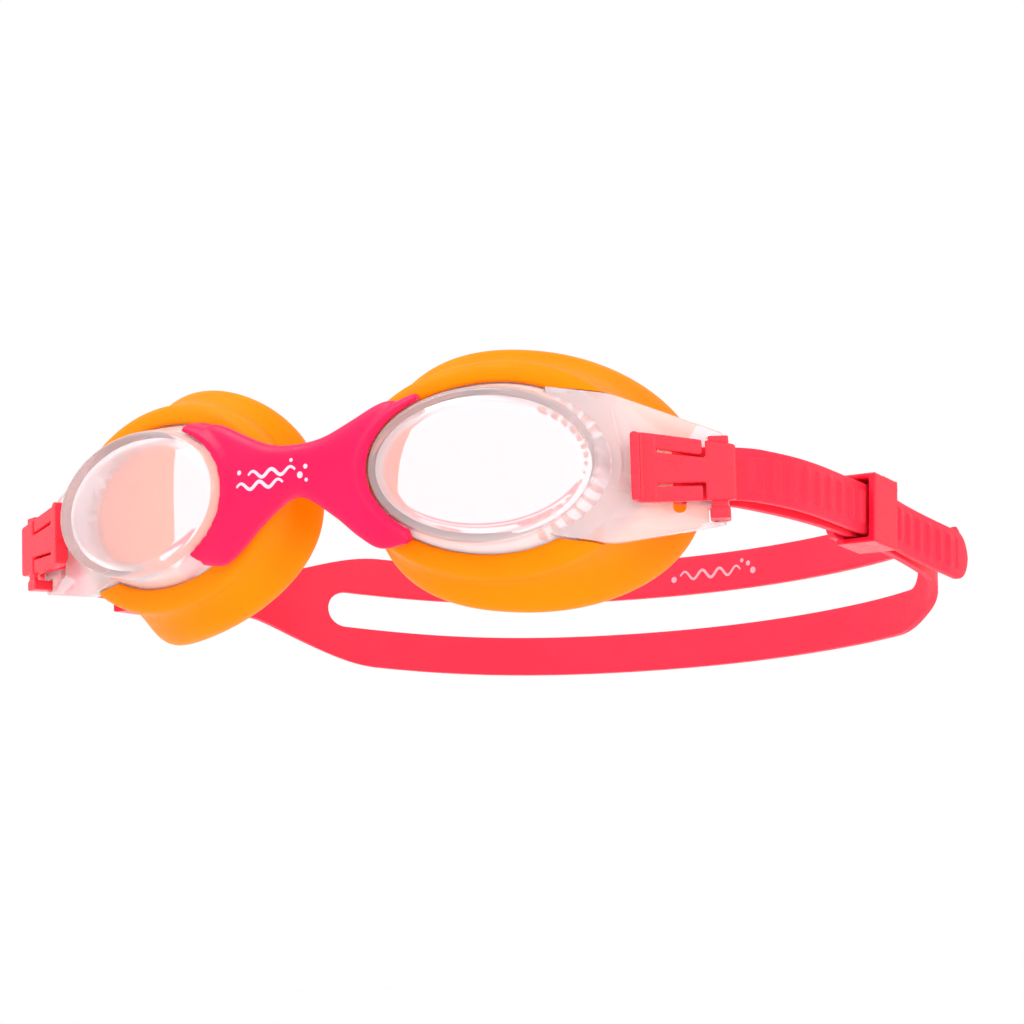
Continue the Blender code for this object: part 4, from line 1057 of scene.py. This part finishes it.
def soften(target, voxel, passes):
    """One even skin with every edge rounded, as a moulding has; voxel size in millimetres."""
    skin = target.modifiers.new("skin", "REMESH")
    skin.mode = "VOXEL"
    skin.voxel_size = voxel * MM
    blur = target.modifiers.new("round", "SMOOTH")
    blur.factor = 0.5
    blur.iterations = passes
    settle(target)


def print_mesh(name, place, strokes, dots, look, stroke=0.42):
    """A thin generic print of lines and dots; place turns (across, up) into object millimetres."""
    points, faces = [], []
    for line in strokes:
        for i, spot in enumerate(line):
            before = Vector(line[max(i - 1, 0)])
            after = Vector(line[min(i + 1, len(line) - 1)])
            along = (after - before).normalized()
            fade = math.sin(math.pi * (0.12 + 0.76 * i / (len(line) - 1))) ** 0.5
            across = Vector((-along.y, along.x)) * stroke / 2 * fade
            base = len(points)
            points += [place(*(Vector(spot) - across)), place(*(Vector(spot) + across))]
            if i:
                faces.append((base - 2, base - 1, base + 1, base))
    for a, b, radius in dots:
        base = len(points)
        for k in range(16):
            turn = 2 * math.pi * k / 16
            points.append(place(a + radius * math.cos(turn), b + radius * math.sin(turn)))
        faces.append(tuple(range(base, base + 16)))
    made = mesh_object(name, points, faces)
    made.data.materials.append(look)
    return made


def thicken(target):
    step = target.modifiers.new("thickness", "SOLIDIFY")
    step.thickness = 0.08 * MM
    step.offset = 0.0
    settle(target)


def bridge_print(bridge):
    """Two small waves and a few bubbles on the front of the nose bridge."""
    strokes = [wave(-11.0, 9.5, 0.55, 2.5, 0.2), wave(-8.5, 9.5, 0.55, 2.5, 2.0)]
    dots = [(1.9, 1.0, 0.55), (3.0, 2.3, 0.4), (3.1, 0.1, 0.32), (-10.4, 2.6, 0.4), (0.2, 3.6, 0.32)]
    made = print_mesh(
        "nose_bridge_print", lambda a, b: (a, FRONT_Y - 6.0, LENS_Z + b), strokes, dots, BRIDGE_INK, 0.6
    )
    wrap = made.modifiers.new("lay", "SHRINKWRAP")
    wrap.wrap_method = "PROJECT"
    wrap.use_project_y = True
    wrap.use_negative_direction = True
    wrap.use_positive_direction = True
    wrap.target = bridge
    wrap.offset = 0.01 * MM
    settle(made)
    thicken(made)
    return made


def strap_print():
    """A row of small waves with bubbles on the inner face of the upper rear band."""
    strokes = [wave(2.0, 14.0, 0.8, 3.5, 7.2)]
    dots = [(0.6, 6.6, 0.6), (17.9, 8.2, 0.5), (19.1, 6.7, 0.65), (16.4, 8.9, 0.4)]
    reach = -STRAP_THICKNESS / 2 - 0.01
    made = print_mesh(
        "head_strap_print",
        lambda a, b: strap_point(PATH_END - a, reach, b, 1),
        strokes,
        dots,
        STRAP_INK,
        0.55,
    )
    thicken(made)
    return made


def wave(start, length, height, crests, level=0.0, steps=60):
    line = []
    for k in range(steps + 1):
        share = k / steps
        line.append((start + length * share, level + height * math.sin(2 * math.pi * crests * share)))
    return line


# ---------------------------------------------------------------- pieces kept from the CAD, refined
def refined(node, name):
    """The CAD solid as one moulding with rounded edges."""
    made = bpy.data.objects.new(name, frame["nodes"][node].data.copy())
    made.data.name = name
    bpy.context.scene.collection.objects.link(made)
    made.data.transform(frame["nodes"][node].matrix_world)
    soften(made, CLIP_VOXEL, CLIP_PASSES)
    return made


def clip_edge(along, upper):
    share = (along - CLIP_FRONT) / (CLIP_REAR - CLIP_FRONT)
    first = CLIP_FRONT_TOP if upper else CLIP_FRONT_BOTTOM
    last = CLIP_REAR_TOP if upper else CLIP_REAR_BOTTOM
    return first + (last - first) * share


def make_tab(upper):
    """A spring tongue that runs into the clip's plate at its root."""
    sign = 1 if upper else -1
    low = ARM_THICKNESS / 2 + GAP + STRAP_THICKNESS + RIB_HEIGHT + GAP
    corners = [
        (along, clip_edge(along, upper) - sign * inset)
        for along, inset in (
            (TAB_ROOT - TAB_ROOT_SUNK, 0.0),
            (TAB_END + TAB_SLOT_EASE, 0.0),
            (TAB_END + TAB_SLOT_EASE, TAB_WIDTH + TAB_SLOT_EASE),
            (TAB_ROOT - TAB_ROOT_SUNK, TAB_WIDTH + TAB_SLOT_EASE),
        )
    ]
    outline = rounded(corners, (0.0, TAB_CORNER, TAB_CORNER, 0.0))
    tab = slab("tab", outline, low + TAB_EASE, low + CLIP_THICKNESS - TAB_EASE)
    soften(tab, TAB_VOXEL, TAB_PASSES)
    tab.name = ("latch_tab_upper_" if upper else "latch_tab_lower_") + "right_moulded"
    return tab


# ---------------------------------------------------------------- build everything
def build():
    lens = make_lens()
    gasket = make_gasket()
    teeth = make_lock_teeth()
    for side in (1, -1):
        name = hand(side)
        body = name + "_eye"
        for source, look, slot, replaced in (
            (lens, LENS, "lens", ["lens_" + name]),
            (gasket, ORANGE, "gasket", ["gasket_" + name]),
            (teeth, ORANGE, "gasket", []),
        ):
            piece = source if side > 0 else mirrored(source, source.name.replace("_right", "_left"))
            finish_piece(piece, look, body, replaced)

    bridge = make_bridge()
    finish_piece(bridge, BRIDGE, None, ["nose_bridge"], 60)

    strap = make_head_strap()
    replaced = [
        part + "_" + hand(side)
        for side in (1, -1)
        for part in ("strap_side", "strap_upper_band", "strap_lower_band")
    ]
    finish_piece(strap, STRAP, None, replaced)
    front_print = bridge_print(bridge)
    finish_piece(front_print, BRIDGE_INK, None)
    rear_print = strap_print()
    finish_piece(rear_print, STRAP_INK, None)

    tabs = {"upper": make_tab(True), "lower": make_tab(False)}
    for side in (1, -1):
        name = hand(side)
        tail = make_tail(side)
        finish_piece(tail, STRAP, name + "_eye", ["strap_tail_" + name], 50)
        for node, look in (("clip_" + name, CLIP), ("keeper_" + name, KEEPER_PAINTED_SHADE)):
            piece = refined(node, node + "_moulded")
            finish_piece(piece, look, node, [node], 180)
        for level, source in tabs.items():
            piece = source if side > 0 else mirrored(source, source.name.replace("_right", "_left"))
            node = "latch_tab_" + level + "_" + name
            finish_piece(piece, CLIP, "tab_" + level + "_" + name, [node], 180)

    bpy.context.view_layer.update()
    for piece in (bridge, front_print):
        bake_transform(piece)
    for piece in (strap, rear_print):
        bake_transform(piece)


# ---------------------------------------------------------------- stage, lights, camera
def make_floor():
    side, level = 12.0, -0.2
    data = bpy.data.meshes.new("floor")
    corners = [(-side, -side, level), (side, -side, level), (side, side, level), (-side, side, level)]
    data.from_pydata(corners, [], [(0, 1, 2, 3)])
    floor = bpy.data.objects.new("floor", data)
    bpy.context.scene.collection.objects.link(floor)
    look = bpy.data.materials.new("pale_floor")
    look.use_nodes = True
    shader = look.node_tree.nodes["Principled BSDF"]
    shader.inputs["Base Color"].default_value = (1.0, 1.0, 1.0, 1.0)
    shader.inputs["Roughness"].default_value = 0.9
    shader.inputs["Specular IOR Level"].default_value = 0.1
    data.materials.append(look)


def area_light(name, place, target, size, power):
    data = bpy.data.lights.new(name, "AREA")
    data.shape = "DISK"
    data.size = size
    data.energy = power
    lamp = bpy.data.objects.new(name, data)
    lamp.location = place
    lamp.rotation_mode = "QUATERNION"
    lamp.rotation_quaternion = (Vector(target) - Vector(place)).to_track_quat("-Z", "Y")
    bpy.context.scene.collection.objects.link(lamp)


def make_lights():
    world = bpy.data.worlds.new("soft_white")
    world.use_nodes = True
    ground = world.node_tree.nodes["Background"]
    ground.inputs["Color"].default_value = (1.0, 1.0, 1.0, 1.0)
    ground.inputs["Strength"].default_value = 1.0
    bpy.context.scene.world = world
    area_light("key", (-0.35, -0.5, 0.85), (0.0, -0.02, 0.02), 0.6, 6.0)
    area_light("fill", (0.7, -0.6, 0.25), (0.0, -0.02, 0.02), 0.7, 3.0)


def make_camera():
    azimuth, elevation, roll = (math.radians(a) for a in (30.98, -7.87, 1.61))
    distance = 0.53192
    target = Vector((22.05, FRONT_Y + 30.0, LENS_Z - 3.6)) * MM
    back = Vector(
        (
            math.sin(azimuth) * math.cos(elevation),
            -math.cos(azimuth) * math.cos(elevation),
            math.sin(elevation),
        )
    )
    level = Vector((math.cos(azimuth), math.sin(azimuth), 0.0))
    upright = back.cross(level)
    right = level * math.cos(roll) - upright * math.sin(roll)
    up = level * math.sin(roll) + upright * math.cos(roll)
    data = bpy.data.cameras.new("camera")
    data.sensor_width = 36.0
    data.lens = 112.23
    data.clip_start = 0.01
    camera = bpy.data.objects.new("camera", data)
    bpy.context.scene.collection.objects.link(camera)
    camera.matrix_world = Matrix(
        (
            (right.x, up.x, back.x, target.x + back.x * distance),
            (right.y, up.y, back.y, target.y + back.y * distance),
            (right.z, up.z, back.z, target.z + back.z * distance),
            (0.0, 0.0, 0.0, 1.0),
        )
    )
    bpy.context.scene.camera = camera


bpy.context.scene.view_settings.view_transform = "Standard"
build()
make_floor()
make_lights()
make_camera()
